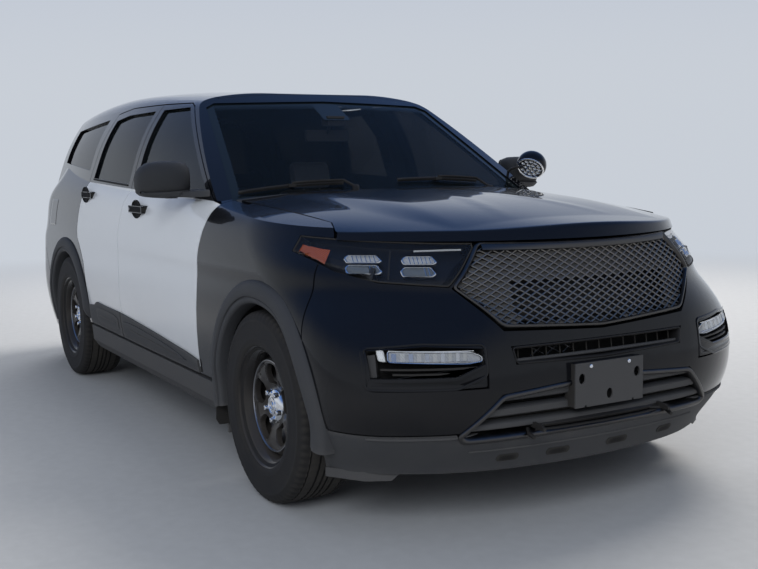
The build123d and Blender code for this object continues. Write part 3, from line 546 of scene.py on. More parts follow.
class Form:
    """Mesh of one piece while it is built, in metres in the part's frame."""

    def __init__(self) -> None:
        """Start with no points."""
        self.points: list[Vector] = []
        self.faces: list[tuple[int, ...]] = []
        self.marks: list[int] = []

    def add(self, points: Points, faces: Iterable[Sequence[int]], mark: int = 0) -> "Form":
        """Append points and faces.

        Args:
            points: New points.
            faces: Faces by number within the new points.
            mark: Finish number of the faces.

        Returns:
            The form itself.
        """
        start = len(self.points)
        self.points.extend(Vector(p) for p in points)
        for face in faces:
            self.faces.append(tuple(start + i for i in face))
            self.marks.append(mark)
        return self

    def fan(self, rim: Points, centre: Vector, mark: int = 0) -> "Form":
        """Triangles between a closed rim and a point."""
        count = len(rim)
        return self.add([*rim, centre], [(i, (i + 1) % count, count) for i in range(count)], mark)

    def patch(self, rows: Sequence[Points], mark: int = 0, around: bool = False) -> "Form":
        """Quads between rows of points.

        Args:
            rows: Rows of the same length.
            mark: Finish number.
            around: Whether each row closes on itself.

        Returns:
            The form itself.
        """
        wide = len(rows[0])
        last = wide if around else wide - 1
        faces = [
            (r * wide + c, r * wide + (c + 1) % wide, (r + 1) * wide + (c + 1) % wide, (r + 1) * wide + c)
            for r in range(len(rows) - 1)
            for c in range(last)
        ]
        return self.add([p for row in rows for p in row], faces, mark)

    def shell(self, rows: Sequence[Points], depth: Vector, mark: int = 0) -> "Form":
        """Closed slab under a grid of points.

        Args:
            rows: Top surface.
            depth: Offset from the top to the bottom.
            mark: Finish number.

        Returns:
            The form itself.
        """
        low = [[p + depth for p in row] for row in rows]
        rim = [*rows[0], *[r[-1] for r in rows[1:]], *reversed(rows[-1][:-1])]
        rim += [r[0] for r in reversed(rows[1:-1])]
        self.patch(rows, mark)
        self.patch([list(reversed(row)) for row in low], mark)
        return self.patch([[p + depth for p in rim], rim], mark, around=True)

    def loft(self, sections: Sequence[Points], mark: int = 0) -> "Form":
        """Skin over closed sections, with flat ends."""
        self.patch(sections, mark, around=True)
        self.add(sections[0], [tuple(reversed(range(len(sections[0]))))], mark)
        return self.add(sections[-1], [tuple(range(len(sections[-1])))], mark)

    def lathe(
        self, profile: Outline, place: Matrix, steps: int, mark: int = 0, closed: bool = False,
    ) -> "Form":
        """Turned surface.

        Args:
            profile: (radius, height) pairs along the local Z axis.
            place: Where the axis stands.
            steps: Segments round it.
            mark: Finish number.
            closed: Whether the profile returns to its start.

        Returns:
            The form itself.
        """
        turns = [2 * math.pi * i / steps for i in range(steps)]
        pairs = [*profile, profile[0]] if closed else list(profile)
        rows = [
            [place @ Vector((r * math.cos(t), r * math.sin(t), h)) for t in turns] for r, h in pairs
        ]
        return self.patch(rows, mark, around=True)

    def slab(self, outline: Outline, place: Matrix, low: float, high: float, mark: int = 0) -> "Form":
        """Prism over a flat outline in the local XY plane.

        Args:
            outline: Corners in order.
            place: Where the plane stands.
            low: Local height of one face.
            high: Local height of the other.
            mark: Finish number.

        Returns:
            The form itself.
        """
        ends = [[place @ Vector((x, y, h)) for x, y in outline] for h in (low, high)]
        return self.loft(ends, mark)

    def box(self, low: Sequence[float], high: Sequence[float], place: Matrix = Matrix(),
            mark: int = 0) -> "Form":
        """Block between two corners."""
        outline = [(low[0], low[1]), (high[0], low[1]), (high[0], high[1]), (low[0], high[1])]
        return self.slab(outline, place, low[2], high[2], mark)

    def tube(
        self, path: Points, radius: float, sides: int, mark: int = 0, closed: bool = False,
        flat: float = 1.0,
    ) -> "Form":
        """Round bar along a path.

        Args:
            path: Points of its middle line.
            radius: Bar radius.
            sides: Sides of its section.
            mark: Finish number.
            closed: Whether it returns to its start.
            flat: Share of the radius across the second axis.

        Returns:
            The form itself.
        """
        count = len(path)
        turns = [2 * math.pi * k / sides for k in range(sides)]
        rows = []
        side = None
        for i, p in enumerate(path):
            ahead = path[(i + 1) % count] if closed or i + 1 < count else p
            behind = path[i - 1] if closed or i else p
            course = (ahead - behind).normalized()
            side = side or (UP if abs(course.z) < 0.9 else Vector((0, 1, 0)))
            side = (side - course * side.dot(course)).normalized()
            other = course.cross(side)
            rows.append([
                p + side * (radius * math.cos(t)) + other * (radius * flat * math.sin(t))
                for t in turns
            ])
        if closed:
            return self.patch([*rows, rows[0]], mark, around=True)
        return self.loft(rows, mark)

    def mirrored(self) -> "Form":
        """The same form on the vehicle's other side."""
        other = Form()
        other.points = [Vector((p.x, -p.y, p.z)) for p in self.points]
        other.faces = [tuple(reversed(face)) for face in self.faces]
        other.marks = list(self.marks)
        return other

    def join(self, other: "Form") -> "Form":
        """Append another form."""
        start = len(self.points)
        self.points.extend(other.points)
        self.faces.extend(tuple(start + i for i in face) for face in other.faces)
        self.marks.extend(other.marks)
        return self

    def marked(self, mark: int) -> "Form":
        """The form itself, with one finish number throughout."""
        self.marks = [mark] * len(self.faces)
        return self

    def piece(
        self, name: str, finishes: Sequence[str], slot: str = "textured_plastic", body: str = "shell",
        edge: Edge = Edge.SOFT, bevel: float = 0.0, smooth: int = 0, replaces: Sequence[str] = (),
        recount: bool = True,
    ) -> bpy.types.Object:
        """Make the object.

        Args:
            name: Its name.
            finishes: Names of its materials, by finish number.
            slot: Material slot of the record; not used.
            body: CAD body that it rides on.
            edge: How its edges are finished.
            bevel: Width of a rounded edge.
            smooth: Levels of subdivision.
            replaces: CAD nodes that it stands for.
            recount: Whether faces are turned outward afresh.

        Returns:
            The new object.
        """
        mesh = bpy.data.meshes.new(name)
        mesh.from_pydata([tuple(p) for p in self.points], [], self.faces)
        mesh.polygons.foreach_set("material_index", self.marks)
        work = bmesh.new()
        work.from_mesh(mesh)
        bmesh.ops.remove_doubles(work, verts=work.verts, dist=0.00002)
        bmesh.ops.dissolve_degenerate(work, dist=0.00001, edges=work.edges)
        if recount:
            bmesh.ops.recalc_face_normals(work, faces=work.faces)
        work.to_mesh(mesh)
        work.free()
        made = bpy.data.objects.new(name, mesh)
        bpy.context.scene.collection.objects.link(made)
        for finish in finishes:
            mesh.materials.append(library.get(finish))
        if bevel:
            round_off = made.modifiers.new("edges", "BEVEL")
            round_off.width, round_off.segments, round_off.limit_method = bevel, 2, "ANGLE"
            round_off.angle_limit = math.radians(28)
        if smooth:
            rounder = made.modifiers.new("rounding", "SUBSURF")
            rounder.levels = rounder.render_levels = smooth
        mesh.shade_smooth()
        if edge is not Edge.SMOOTH and not smooth:
            mesh.set_sharp_from_angle(angle=math.radians(edge.value))
        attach(made, body)
        if replaces:
            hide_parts(*replaces)
        log.info("%s: %d faces on %s", name, len(mesh.polygons), body)
        return made


def lerp(a: float, b: float, t: float) -> float:
    """Number a share t of the way from a to b."""
    return a + (b - a) * t


def spread(points: Points, step: float) -> list[Vector]:
    """Points along a broken line, no further apart than the step."""
    made = [points[0]]
    for start, end in zip(points, points[1:]):
        count = max(1, math.ceil((end - start).length / step))
        made.extend(start.lerp(end, (i + 1) / count) for i in range(count))
    return made


def stand(spot: Sequence[float], degrees: float, axis: str) -> Matrix:
    """Place at a point, turned about one axis."""
    return Matrix.Translation(spot) @ Matrix.Rotation(math.radians(degrees), 4, axis)


def brink(miss: float, hit: float, covers: Callable[[float], object], rounds: int) -> float:
    """Where a surface starts, found by halving the way between two places.

    Args:
        miss: Place that the surface doesn't cover.
        hit: Place that it covers.
        covers: Tells whether it covers a place.
        rounds: Count of halvings.

    Returns:
        The nearest covered place.
    """
    for _ in range(rounds):
        middle = (miss + hit) / 2
        miss, hit = (miss, middle) if covers(middle) else (middle, hit)
    return hit


def rounded(outline: Outline, radius: float, steps: int) -> list:
    """Outline with its corners cut by arcs.

    Args:
        outline: Corners in order.
        radius: Distance from each corner at which its arc starts.
        steps: Segments in each arc.

    Returns:
        The rounded outline.
    """
    made = []
    for i, (x, y) in enumerate(outline):
        corner = Vector((x, y))
        ends = []
        for px, py in (outline[i - 1], outline[(i + 1) % len(outline)]):
            arm = Vector((px, py)) - corner
            ends.append(corner + arm.normalized() * min(radius, arm.length * 0.45))
        for k in range(steps + 1):
            t = k / steps
            p = ends[0] * (1 - t) ** 2 + corner * (2 * t * (1 - t)) + ends[1] * t**2
            made.append((p.x, p.y))
    return made


@dataclass
class Camera:
    """Camera of the main view.

    Attributes:
        spot: Where it stands.
        azimuth: Heading of its axis in degrees.
        pitch: Angle of its axis above the horizon in degrees.
        roll: Turn about its axis in radians.
        focal: Focal length in pixels of the frame.
        size: Frame in pixels.
    """

    spot: Place = (5.35210752, -2.56375016, 1.33167074)
    azimuth: float = 150.1557
    pitch: float = -6.7044
    roll: float = -0.01424761
    focal: float = 1047.574
    size: tuple[int, int] = (758, 569)

    def axes(self) -> tuple[Vector, Vector, Vector]:
        """Right, up and forward directions."""
        a, b, c = math.radians(self.azimuth), math.radians(self.pitch), self.roll
        ahead = Vector((math.cos(b) * math.cos(a), math.cos(b) * math.sin(a), math.sin(b)))
        right = ahead.cross(Vector((0, 0, 1))).normalized()
        up = right.cross(ahead)
        return (
            math.cos(c) * right + math.sin(c) * up,
            math.cos(c) * up - math.sin(c) * right,
            ahead,
        )

    def ray(self, px: float, py: float) -> Vector:
        """Direction through a pixel of the frame."""
        right, up, ahead = self.axes()
        across = (px - self.size[0] / 2) / self.focal
        down = (py - self.size[1] / 2) / self.focal
        return (ahead + right * across - up * down).normalized()

    def make(self) -> None:
        """Add the camera to the scene."""
        data = bpy.data.cameras.new("main_view")
        data.lens = 36.0 * self.focal / self.size[0]
        data.sensor_width, data.sensor_fit = 36.0, "HORIZONTAL"
        data.clip_start, data.clip_end = 0.05, 200.0
        made = bpy.data.objects.new("main_view", data)
        bpy.context.scene.collection.objects.link(made)
        right, up, ahead = self.axes()
        turn = Matrix((right, up, -ahead)).transposed().to_4x4()
        made.matrix_world = Matrix.Translation(self.spot) @ turn
        bpy.context.scene.camera = made


class Skin:
    """Outer surface of some CAD nodes, to lay trim on."""

    def __init__(self, *nodes: str) -> None:
        """Gather the nodes' faces.

        Args:
            nodes: Names of the CAD nodes.
        """
        points, faces = [], []
        for name in nodes:
            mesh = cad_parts[name].data
            start = len(points)
            points.extend(v.co.copy() for v in mesh.vertices)
            faces.extend([start + i for i in p.vertices] for p in mesh.polygons)
        self.tree = BVHTree.FromPolygons(points, faces)

    def cast(self, start: Vector, course: Vector) -> tuple[Optional[Vector], Vector]:
        """First hit of a ray, with the normal turned back along it."""
        spot, normal, _, _ = self.tree.ray_cast(start, course.normalized())
        if spot is None:
            return None, UP
        return spot, normal if normal.dot(course) < 0 else -normal

    def side(self, x: float, z: float, hand: float, proud: float = 0.0) -> Optional[Vector]:
        """Point on the side skin, lifted off it.

        Args:
            x: Place along the body.
            z: Height.
            hand: 1 for left and -1 for right.
            proud: Lift along the normal.

        Returns:
            The point, or None where there is no skin.
        """
        spot, normal = self.cast(Vector((x, hand * 2, z)), Vector((0, -hand, 0)))
        return spot + normal * proud if spot else None

    def front(self, y: float, z: float, proud: float = 0.0) -> Optional[Vector]:
        """Point on the front skin, lifted off it."""
        spot, normal = self.cast(Vector((4, y, z)), Vector((-1, 0, 0)))
        return spot + normal * proud if spot else None

    def rear(self, y: float, z: float, proud: float = 0.0) -> Optional[Vector]:
        """Point on the rear skin, lifted off it."""
        spot, normal = self.cast(Vector((-4, y, z)), Vector((1, 0, 0)))
        return spot + normal * proud if spot else None

    def top(self, x: float, y: float, proud: float = 0.0) -> Optional[Vector]:
        """Point on the upper skin, lifted off it."""
        spot, normal = self.cast(Vector((x, y, 3)), Vector((0, 0, -1)))
        return spot + normal * proud if spot else None


def side_plate(
    skin: Skin, columns: Stations, hand: float, thick: float, rows: int, step: float, crown: float = 0.0,
) -> Form:
    """Plate that lies on the body side between two lines.

    Args:
        skin: Surface under it.
        columns: (x, low z, high z) stations along the body.
        hand: 1 for left and -1 for right.
        thick: How far it stands proud.
        rows: Strips between the lines.
        step: Longest strip along the body.
        crown: Extra rise along its middle.

    Returns:
        The plate.
    """
    stations = spread([Vector(c) for c in columns], step)
    grid = []
    for k in range(rows + 1):
        t = k / rows
        bulge = thick + crown * math.sin(math.pi * t)
        grid.append([skin.side(s.x, lerp(s.y, s.z, t), hand, bulge) for s in stations])
    for line in grid:
        for i, p in enumerate(line):
            if p is None:
                near = [q for q in line[max(0, i - 3): i + 4] if q is not None]
                line[i] = Vector((stations[i].x, near[0].y, line[i - 1].z)) if near else grid[0][i]
    return Form().shell(grid, Vector((0, -hand * (thick + 0.004), 0)))


@dataclass
class Studio:
    """Pale floor, soft lights and even surroundings.

    Attributes:
        reach: Half size of the floor.
        sky: Strength of the surroundings as light.
        haze: Squares of the distances between which the floor fades into the horizon.
        lamps: (name, place, target, width, power, colour) of each lamp.
    """

    reach: float = 60.0
    sky: float = 0.42
    haze: tuple[float, float] = (16.0, 110.0)
    lamps: Sequence[tuple[str, Place, Place, float, float, Colour]] = (
        ("key", (-2.0, 6.5, 9.0), (0.3, 0.0, 0.8), 6.0, 900.0, (1.0, 0.97, 0.92)),
        ("fill", (7.5, -6.0, 5.0), (0.8, 0.0, 0.7), 5.0, 330.0, (0.86, 0.92, 1.0)),
        ("rear", (-7.0, 2.0, 6.0), (-1.0, 0.0, 0.8), 5.0, 260.0, (0.95, 0.97, 1.0)),
    )

    def build(self) -> None:
        """Add the floor, the lamps and the world."""
        self.floor()
        for lamp in self.lamps:
            self.lamp(*lamp)
        self.world()

    def floor(self) -> None:
        """Lay a pale floor that fades into the horizon."""
        floor = bpy.data.objects.new("floor", bpy.data.meshes.new("floor"))
        r = self.reach
        corners = [(-r, -r, 0), (r, -r, 0), (r, r, 0), (-r, r, 0)]
        floor.data.from_pydata(corners, [], [(0, 1, 2, 3)])
        bpy.context.scene.collection.objects.link(floor)
        shade = Shade("floor_pale")
        fleck = shade.noise(18.0, 6.0)
        colour = shade.mix(fleck, (0.52, 0.52, 0.52), (0.60, 0.60, 0.60))
        shade.set(Base_Color=colour, Roughness=0.85, Specular_IOR_Level=0.2)
        x, y, _ = shade.place()
        away = (x * x + y * y).rise(*self.haze)
        seen = self.shown(shade)
        far = shade.node("ShaderNodeEmission", {}, {0: (*HORIZON, 1.0), 1: 1.0})
        blend = shade.node("ShaderNodeMixShader", {}, {
            0: away * seen, 1: shade.main.outputs[0], 2: far.outputs[0]})
        shade.tree.links.new(blend.outputs[0], shade.end.inputs[0])
        floor.data.materials.append(shade.material)

    @staticmethod
    def lamp(name: str, spot: Place, aim: Place, size: float, power: float, tint: Colour) -> None:
        """Add one round lamp.

        Args:
            name: Its name.
            spot: Where it stands.
            aim: What it points at.
            size: Width of the disc.
            power: Watts.
            tint: Colour of its light.
        """
        lamp = bpy.data.lights.new(name, "AREA")
        lamp.shape, lamp.size, lamp.energy, lamp.color = "DISK", size, power, tint
        made = bpy.data.objects.new(name, lamp)
        made.location = spot
        course = Vector(aim) - Vector(spot)
        made.rotation_euler = course.to_track_quat("-Z", "Y").to_euler()
        made.visible_glossy = False
        bpy.context.scene.collection.objects.link(made)

    @staticmethod
    def shown(shade: Shade) -> Value:
        """1 for the rays that see the surroundings themselves: camera, glossy and transmission."""
        path = shade.node("ShaderNodeLightPath")
        camera, glossy, through = (
            Value(shade, path.outputs[f"Is {kind} Ray"]) for kind in ("Camera", "Glossy", "Transmission"))
        return camera.most(glossy).most(through)

    def world(self) -> None:
        """Set surroundings that pale towards the horizon, plain behind the object."""
        world = bpy.data.worlds.new("surroundings")
        bpy.context.scene.world = world
        world.use_nodes = True
        shade = Shade("surroundings_scratch")
        shade.tree = world.node_tree
        shade.tree.nodes.clear()
        place = shade.node("ShaderNodeTexCoord")
        split = shade.node("ShaderNodeSeparateXYZ", {}, {0: place.outputs["Generated"]})
        height = Value(shade, split.outputs[2])
        haze = 1 - height.rise(0.06, 0.62)
        sky = shade.mix(haze, (0.09, 0.19, 0.46), HORIZON)
        seen = self.shown(shade)
        colour = shade.mix(seen, (0.62, 0.68, 0.80), sky)
        strength = seen + (1 - seen) * self.sky
        back = shade.node("ShaderNodeBackground", {}, {0: colour, 1: strength})
        end = shade.node("ShaderNodeOutputWorld")
        shade.tree.links.new(back.outputs[0], end.inputs[0])
        bpy.data.materials.remove(shade.material)


@dataclass
class CarriedPanels:
    """Finishes of the CAD nodes that stay as they are.

    Attributes:
        finishes: Finish name by node name.
    """

    finishes: dict[str, str] = field(default_factory=lambda: {
        **{n: "black_paint" for n in (
            "body_side_left", "body_side_right", "roof_panel", "front_fenders", "front_bumper",
            "rear_bumper", "bonnet", "tailgate", "fuel_flap")},
        **{f"{end}_door_{hand}": "door_white" for end in ("front", "rear") for hand in SIDES},
        **{f"{end}_door_glass_{hand}": "side_glass" for end in ("front", "rear") for hand in SIDES},
        "quarter_glass": "rear_glass", "tailgate_glass": "rear_glass",
        "arch_flares": "grain_grey", "sill_cladding": "grain_grey", "front_valance": "grain_grey",
        "wheel_wells": "pit_black", "floor_pan": "steel_plain", "load_panel": "trim_cabin",
        "front_subframe": "iron", "rear_subframe": "iron", "exhaust": "steel_plain",
        "engine_block": "iron", "radiator": "satin_metal", "dashboard": "trim_cabin",
        "front_knuckle_left": "iron", "front_knuckle_right": "iron",
        "headlamps": "pit_black", "running_lamps": "pit_black", "grille": "pit_black",
        "lower_intake": "pit_black", "plate_bracket": "grain_grey", "crossbar": "satin_black",
        "tail_lamps": "lamp_red", "steering_wheel": "trim_cabin",
        "mirror_left": "grain_dark", "mirror_right": "grain_dark", "seats": "seat_cloth",
        "spotlight": "black_paint",
        **{f"rim_{c}": "wheel_black" for c in ("front_left", "front_right", "rear_left", "rear_right")},
        **{f"tyre_{c}": "tyre_rubber" for c in ("front_left", "front_right", "rear_left", "rear_right")},
    })

    def dress(self) -> None:
        """Give each node its material."""
        for name, finish in self.finishes.items():
            self.paint(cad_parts[name], library.get(finish))
        self.paint(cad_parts["windscreen"], self.windscreen())

    @staticmethod
    def paint(node: bpy.types.Object, material: bpy.types.Material) -> None:
        """Put one material in every slot of a node."""
        if not node.material_slots:
            node.data.materials.append(material)
        for slot in node.material_slots:
            slot.material = material

    @staticmethod
    def windscreen() -> bpy.types.Material:
        """Tinted pane with a black printed border and a dark band at its top."""

        def border(shade: Shade) -> Value:
            """Mask of the printed border."""
            _, y, z = shade.place()
            pillar = 0.806 - (z - 1.176) * 0.3532
            sides = (abs(y) - pillar).rise(-0.048, -0.040)
            foot = 1 - z.rise(1.178, 1.190)
            head = (z + y * y * 0.035).rise(1.588, 1.640) * 0.9
            box = (1 - abs(y).rise(0.075, 0.08)) * z.rise(1.545, 1.55)
            return sides.most(foot).most(head).most(box)

        return Glazing((0.010, 0.014, 0.017), 0.20, border).material("windscreen_glass")


@dataclass
class RoadWheel:
    """Steel wheel with five windows, a bright centre cap and a grooved tyre.

    Attributes:
        name: Corner that it stands at.
        x: Axle position.
        hand: 1 for left and -1 for right.
        flange: Outer radius of the rim.
        windows: Count of windows.
        eye: Distance of each window's middle from the axle.
    """

    name: str
    x: float
    hand: float
    flange: float = 0.2455
    windows: int = 5
    eye: float = 0.1275

    def place(self) -> Matrix:
        """Local frame whose Z axis points out of the wheel."""
        turn = Matrix(((-self.hand, 0, 0), (0, 0, self.hand), (0, 1, 0)))
        spot = (self.x, self.hand * HALF_TRACK, TYRE_RADIUS)
        return Matrix.Translation(spot) @ turn.to_4x4()

    def tyre(self) -> Form:
        """Tyre with four grooves, shoulder blocks and rings on its sidewall."""
        half = [
            (0.222, 0.098), (0.238, 0.112), (0.243, 0.1205), (0.252, 0.1245), (0.262, 0.1255),
            (0.268, 0.1270), (0.272, 0.1270), (0.276, 0.1262), (0.300, 0.1272), (0.322, 0.1262),
            (0.334, 0.1255), (0.338, 0.1265), (0.343, 0.1262), (0.347, 0.1235), (0.358, 0.1205),
            (0.368, 0.1150), (0.3735, 0.1085), (0.3772, 0.1000), (0.3790, 0.0900),
        ]
        crown = []
        edges = (0.0830, 0.0770, 0.0440, 0.0340, 0.0160, 0.0060)
        for k, w in enumerate(edges):
            radius = 0.3815 - 0.16 * w * w * 1.4
            top, foot = (radius, w), (radius - 0.0075, w + (0.001 if k % 2 else -0.001))
            crown += [top, foot] if k % 2 == 0 else [foot, top]
        crown = [(0.3795, 0.0880), *crown]
        side = half + crown
        profile = side + [(r, -w) for r, w in reversed(side)]
        steps = 216
        place = self.place()
        rows = []
        for r, w in profile:
            row = []
            for i in range(steps):
                t = 2 * math.pi * i / steps
                phase = i % 3
                cut = 0.0
                if abs(w) > 0.0775 and r > 0.350:
                    cut = 0.0045 if phase == 0 else 0.0
                elif r > 0.3785 and phase == 0:
                    cut = 0.0022
                elif abs(w) > 0.1195 and 0.2995 < r < 0.3005:
                    cut = 0.0003 * math.sin(10 * t)
                lean = 0.012 * w / 0.12 * (1 if r > 0.36 else 0)
                at = t + lean
                row.append(place @ Vector(((r - cut) * math.cos(at), (r - cut) * math.sin(at), w)))
            rows.append(row)
        return Form().patch(rows, 0, around=True)

    def barrel(self) -> Form:
        """Rim from its outer flange to its inner one."""
        profile = [
            (0.2300, 0.1020), (0.2385, 0.1040), (0.2430, 0.1085), (self.flange, 0.1130),
            (self.flange, 0.1160), (0.2430, 0.1172), (0.2385, 0.1155), (0.2340, 0.1080),
            (0.2290, 0.0990), (0.2190, 0.0860), (0.2120, 0.0720), (0.2085, 0.0600),
            (0.2060, 0.0380), (0.2045, 0.0000), (0.2040, -0.0800), (0.2200, -0.0950),
            (0.2400, -0.1060), (self.flange, -0.1130), (0.2300, -0.1150), (0.2160, -0.1020),
            (0.1990, -0.0820), (0.1990, 0.0600), (0.2050, 0.0780), (0.2160, 0.0960),
        ]
        return Form().lathe(profile, self.place(), 96, 0, closed=True)

    def height(self, r: float) -> float:
        """Local height of the disc's face at a radius."""
        stations = (
            (0.0, 0.052), (0.060, 0.052), (0.078, 0.056), (0.100, 0.066), (0.140, 0.072),
            (0.165, 0.071), (0.178, 0.074), (0.186, 0.068), (0.200, 0.050),
        )
        for (r0, h0), (r1, h1) in zip(stations, stations[1:]):
            if r <= r1:
                t = (r - r0) / (r1 - r0)
                return lerp(h0, h1, t * t * (3 - 2 * t))
        return stations[-1][1]

    def disc(self) -> Form:
        """Disc pierced by flanged windows."""
        place = self.place()
        form = Form()
        sweep = math.pi / self.windows
        count = 40
        for sector in range(self.windows):
            middle = 2 * sweep * sector + math.pi / 2
            rings = []
            for k in range(count):
                u = 2 * math.pi * k / count
                cu, su = math.cos(u), math.sin(u)
                scale = 1 / max(abs(cu), abs(su))
                edge = (0.124 + 0.076 * cu * scale, middle + sweep * su * scale)
                power = (abs(cu) ** 3.2 + abs(su) ** 3.2) ** (-1 / 3.2)
                r_in = self.eye + 0.0405 * cu * power
                arc = (0.0420 + 0.012 * (r_in - 0.087) / 0.08) * su * power / r_in
                rings.append((edge, (r_in, middle + arc)))
            rows = []
            for t, lift in ((0.0, 0), (0.3, 0), (0.6, 0), (0.8, 0), (0.90, 0.001), (0.97, 0.0022),
                            (1.0, 0.0012), (1.01, -0.004), (1.015, -0.022)):
                row = []
                for (r0, a0), (r1, a1) in rings:
                    share = min(t, 1.0)
                    r, a = lerp(r0, r1, share), lerp(a0, a1, share)
                    centre = Vector((self.eye * math.cos(middle), self.eye * math.sin(middle)))
                    flat = Vector((r * math.cos(a), r * math.sin(a)))
                    if t > 1:
                        flat = centre + (flat - centre) * (1 - (t - 1) * 3)
                    row.append(place @ Vector((flat.x, flat.y, self.height(flat.length) + lift)))
                rows.append(row)
            form.patch(rows, 0, around=True)
        form.lathe([(0.0, 0.052), (0.030, 0.052), (0.048, 0.052)], place, 40)
        ring = [(0.1765, 0.0725), (0.1790, 0.0768), (0.1820, 0.0762), (0.1840, 0.0700)]
        form.lathe(ring, place, 96, 1)
        form.lathe([(0.2433, 0.1150), (0.2455, 0.1180), (0.2470, 0.1150)], place, 96, 1)
        return form

    def cap(self) -> Form:
        """Bright centre cap with rings and five nuts."""
        place = self.place()
        form = Form()
        dome = [
            (0.0001, 0.0740), (0.012, 0.0742), (0.0135, 0.0775), (0.018, 0.0780), (0.0195, 0.0745),
            (0.028, 0.0735), (0.0300, 0.0760), (0.0340, 0.0755), (0.0352, 0.0722), (0.050, 0.0690),
            (0.062, 0.0635), (0.068, 0.0570), (0.0690, 0.0500),
        ]
        form.lathe(dome, place, 64)
        for k in range(self.windows):
            a = 2 * math.pi * (k + 0.5) / self.windows + math.pi / 2
            spot = place @ Matrix.Translation((0.0572 * math.cos(a), 0.0572 * math.sin(a), 0))
            nut = [(0.0140, 0.050), (0.0140, 0.0600), (0.0115, 0.0620), (0.0113, 0.0770),
                   (0.0090, 0.0815), (0.0001, 0.0825)]
            form.lathe(nut, spot, 6 * 3)
        return form

    def brake(self) -> Form:
        """Vented brake disc behind the windows."""
        form = Form()
        ring = [(0.080, 0.020), (0.174, 0.020), (0.174, -0.010), (0.080, -0.010)]
        form.lathe(ring, self.place(), 72, 0, closed=True)
        return form.lathe([(0.080, 0.012), (0.078, 0.045), (0.001, 0.046)], self.place(), 48)

    def build(self) -> None:
        """Make the wheel's pieces."""
        body = f"wheel_{self.name}"
        self.tyre().piece(f"tyre_tread_{self.name}", ["tyre_rubber"], slot="tyre", body=body,
                          replaces=[f"tyre_{self.name}"])
        disc = self.barrel().join(self.disc())
        disc.piece(f"steel_wheel_{self.name}", ["wheel_black", "satin_metal"], slot="wheel_paint",
                   body=body, replaces=[f"rim_{self.name}"])
        self.cap().piece(f"centre_cap_{self.name}", ["chrome"], slot="wheel_paint", body=body)
        self.brake().piece(f"brake_disc_{self.name}", ["disc_steel"], slot="castings", body=body,
                           edge=Edge.CRISP)


class Bulge:
    """Smooth surface fitted to the front or the top of a CAD node.

    Attributes:
        skin: Surface of the node.
        inset: How far the node lies inside the painted skin.
        level: Whether the surface is a height over (x, y), rather than an x over (y, z).
    """

    def __init__(
        self, node: str, inset: float, across: tuple[float, float], along: tuple[float, float],
        level: bool = False,
    ) -> None:
        """Sample the node and fit.

        Args:
            node: CAD node.
            inset: How far it lies inside the painted skin.
            across: Range of y.
            along: Range of z, or of x for a level surface.
            level: Whether to fit the height.
        """
        self.skin, self.inset, self.level = Skin(node), inset, level
        rows, target = [], []
        for i in range(37):
            for k in range(25):
                y, w = lerp(*across, i / 36), lerp(*along, k / 24)
                spot = self.skin.top(w, y) if level else self.skin.front(y, w)
                if spot:
                    rows.append(self.terms(y, w))
                    target.append(spot.z if level else spot.x)
        self.weights = numpy.linalg.lstsq(numpy.array(rows), numpy.array(target), rcond=None)[0]

    def terms(self, y: float, w: float) -> list[float]:
        """Products of powers of the two coordinates."""
        a, b = y * y, w - (1.6 if self.level else 0.7)
        return [a**i * b**k for i in range(5) for k in range(4)]

    def value(self, y: float, w: float) -> float:
        """Fitted x or height."""
        return float(numpy.dot(self.terms(y, w), self.weights))

    def at(self, y: float, w: float, depth: float = 0.0) -> Vector:
        """Point below the painted skin.

        Args:
            y: Place across the vehicle.
            w: Height, or x for a level surface.
            depth: Distance inside the painted skin.

        Returns:
            The point.
        """
        e = 0.004
        v = self.value(y, w)
        dy = (self.value(y + e, w) - self.value(y - e, w)) / (2 * e)
        dw = (self.value(y, w + e) - self.value(y, w - e)) / (2 * e)
        if self.level:
            spot, normal = Vector((w, y, v)), Vector((-dw, -dy, 1)).normalized()
        else:
            spot, normal = Vector((v, y, w)), Vector((1, -dy, -dw)).normalized()
        return spot + normal * (self.inset - depth)

    def rings(self, outline: Outline, steps: Outline) -> list[list[Vector]]:
        """Closed rows of points, one for each (inset from the outline, depth) pair."""
        return [[self.at(y, z, deep) for y, z in shrunk(outline, inset)] for inset, deep in steps]

    def run(self, start: float, end: float, z: float, depth: float, steps: int) -> list[Vector]:
        """Points across the face at one height."""
        return [self.at(lerp(start, end, k / steps), z, depth) for k in range(steps + 1)]


def edge_at(line: Outline, place: float) -> float:
    """Height of a broken line at a place along it."""
    if place <= line[0][0]:
        return line[0][1]
    for (a, za), (b, zb) in zip(line, line[1:]):
        if place <= b:
            return lerp(za, zb, (place - a) / (b - a))
    return line[-1][1]


def flow_at(line: Outline, place: float) -> float:
    """Height of a smooth curve through the points of a line at a place along it."""
    if place <= line[0][0]:
        return line[0][1]
    for i, ((a, za), (b, zb)) in enumerate(zip(line, line[1:])):
        if place <= b:
            (pa, pz), (qa, qz) = line[max(0, i - 1)], line[min(len(line) - 1, i + 2)]
            t = (place - a) / (b - a)
            start = (zb - pz) / max(1e-6, b - pa) * (b - a)
            end = (qz - za) / max(1e-6, qa - a) * (b - a)
            return (
                za * (2 * t**3 - 3 * t * t + 1) + start * (t**3 - 2 * t * t + t)
                + zb * (3 * t * t - 2 * t**3) + end * (t**3 - t * t))
    return line[-1][1]


def dense(outline: Outline, step: float, closed: bool = True) -> list:
    """Flat outline with points no further apart than the step."""
    ring = [Vector((*p, 0)) for p in outline]
    if closed:
        ring.append(ring[0])
    made = [(p.x, p.y) for p in spread(ring, step)]
    return made[:-1] if closed else made


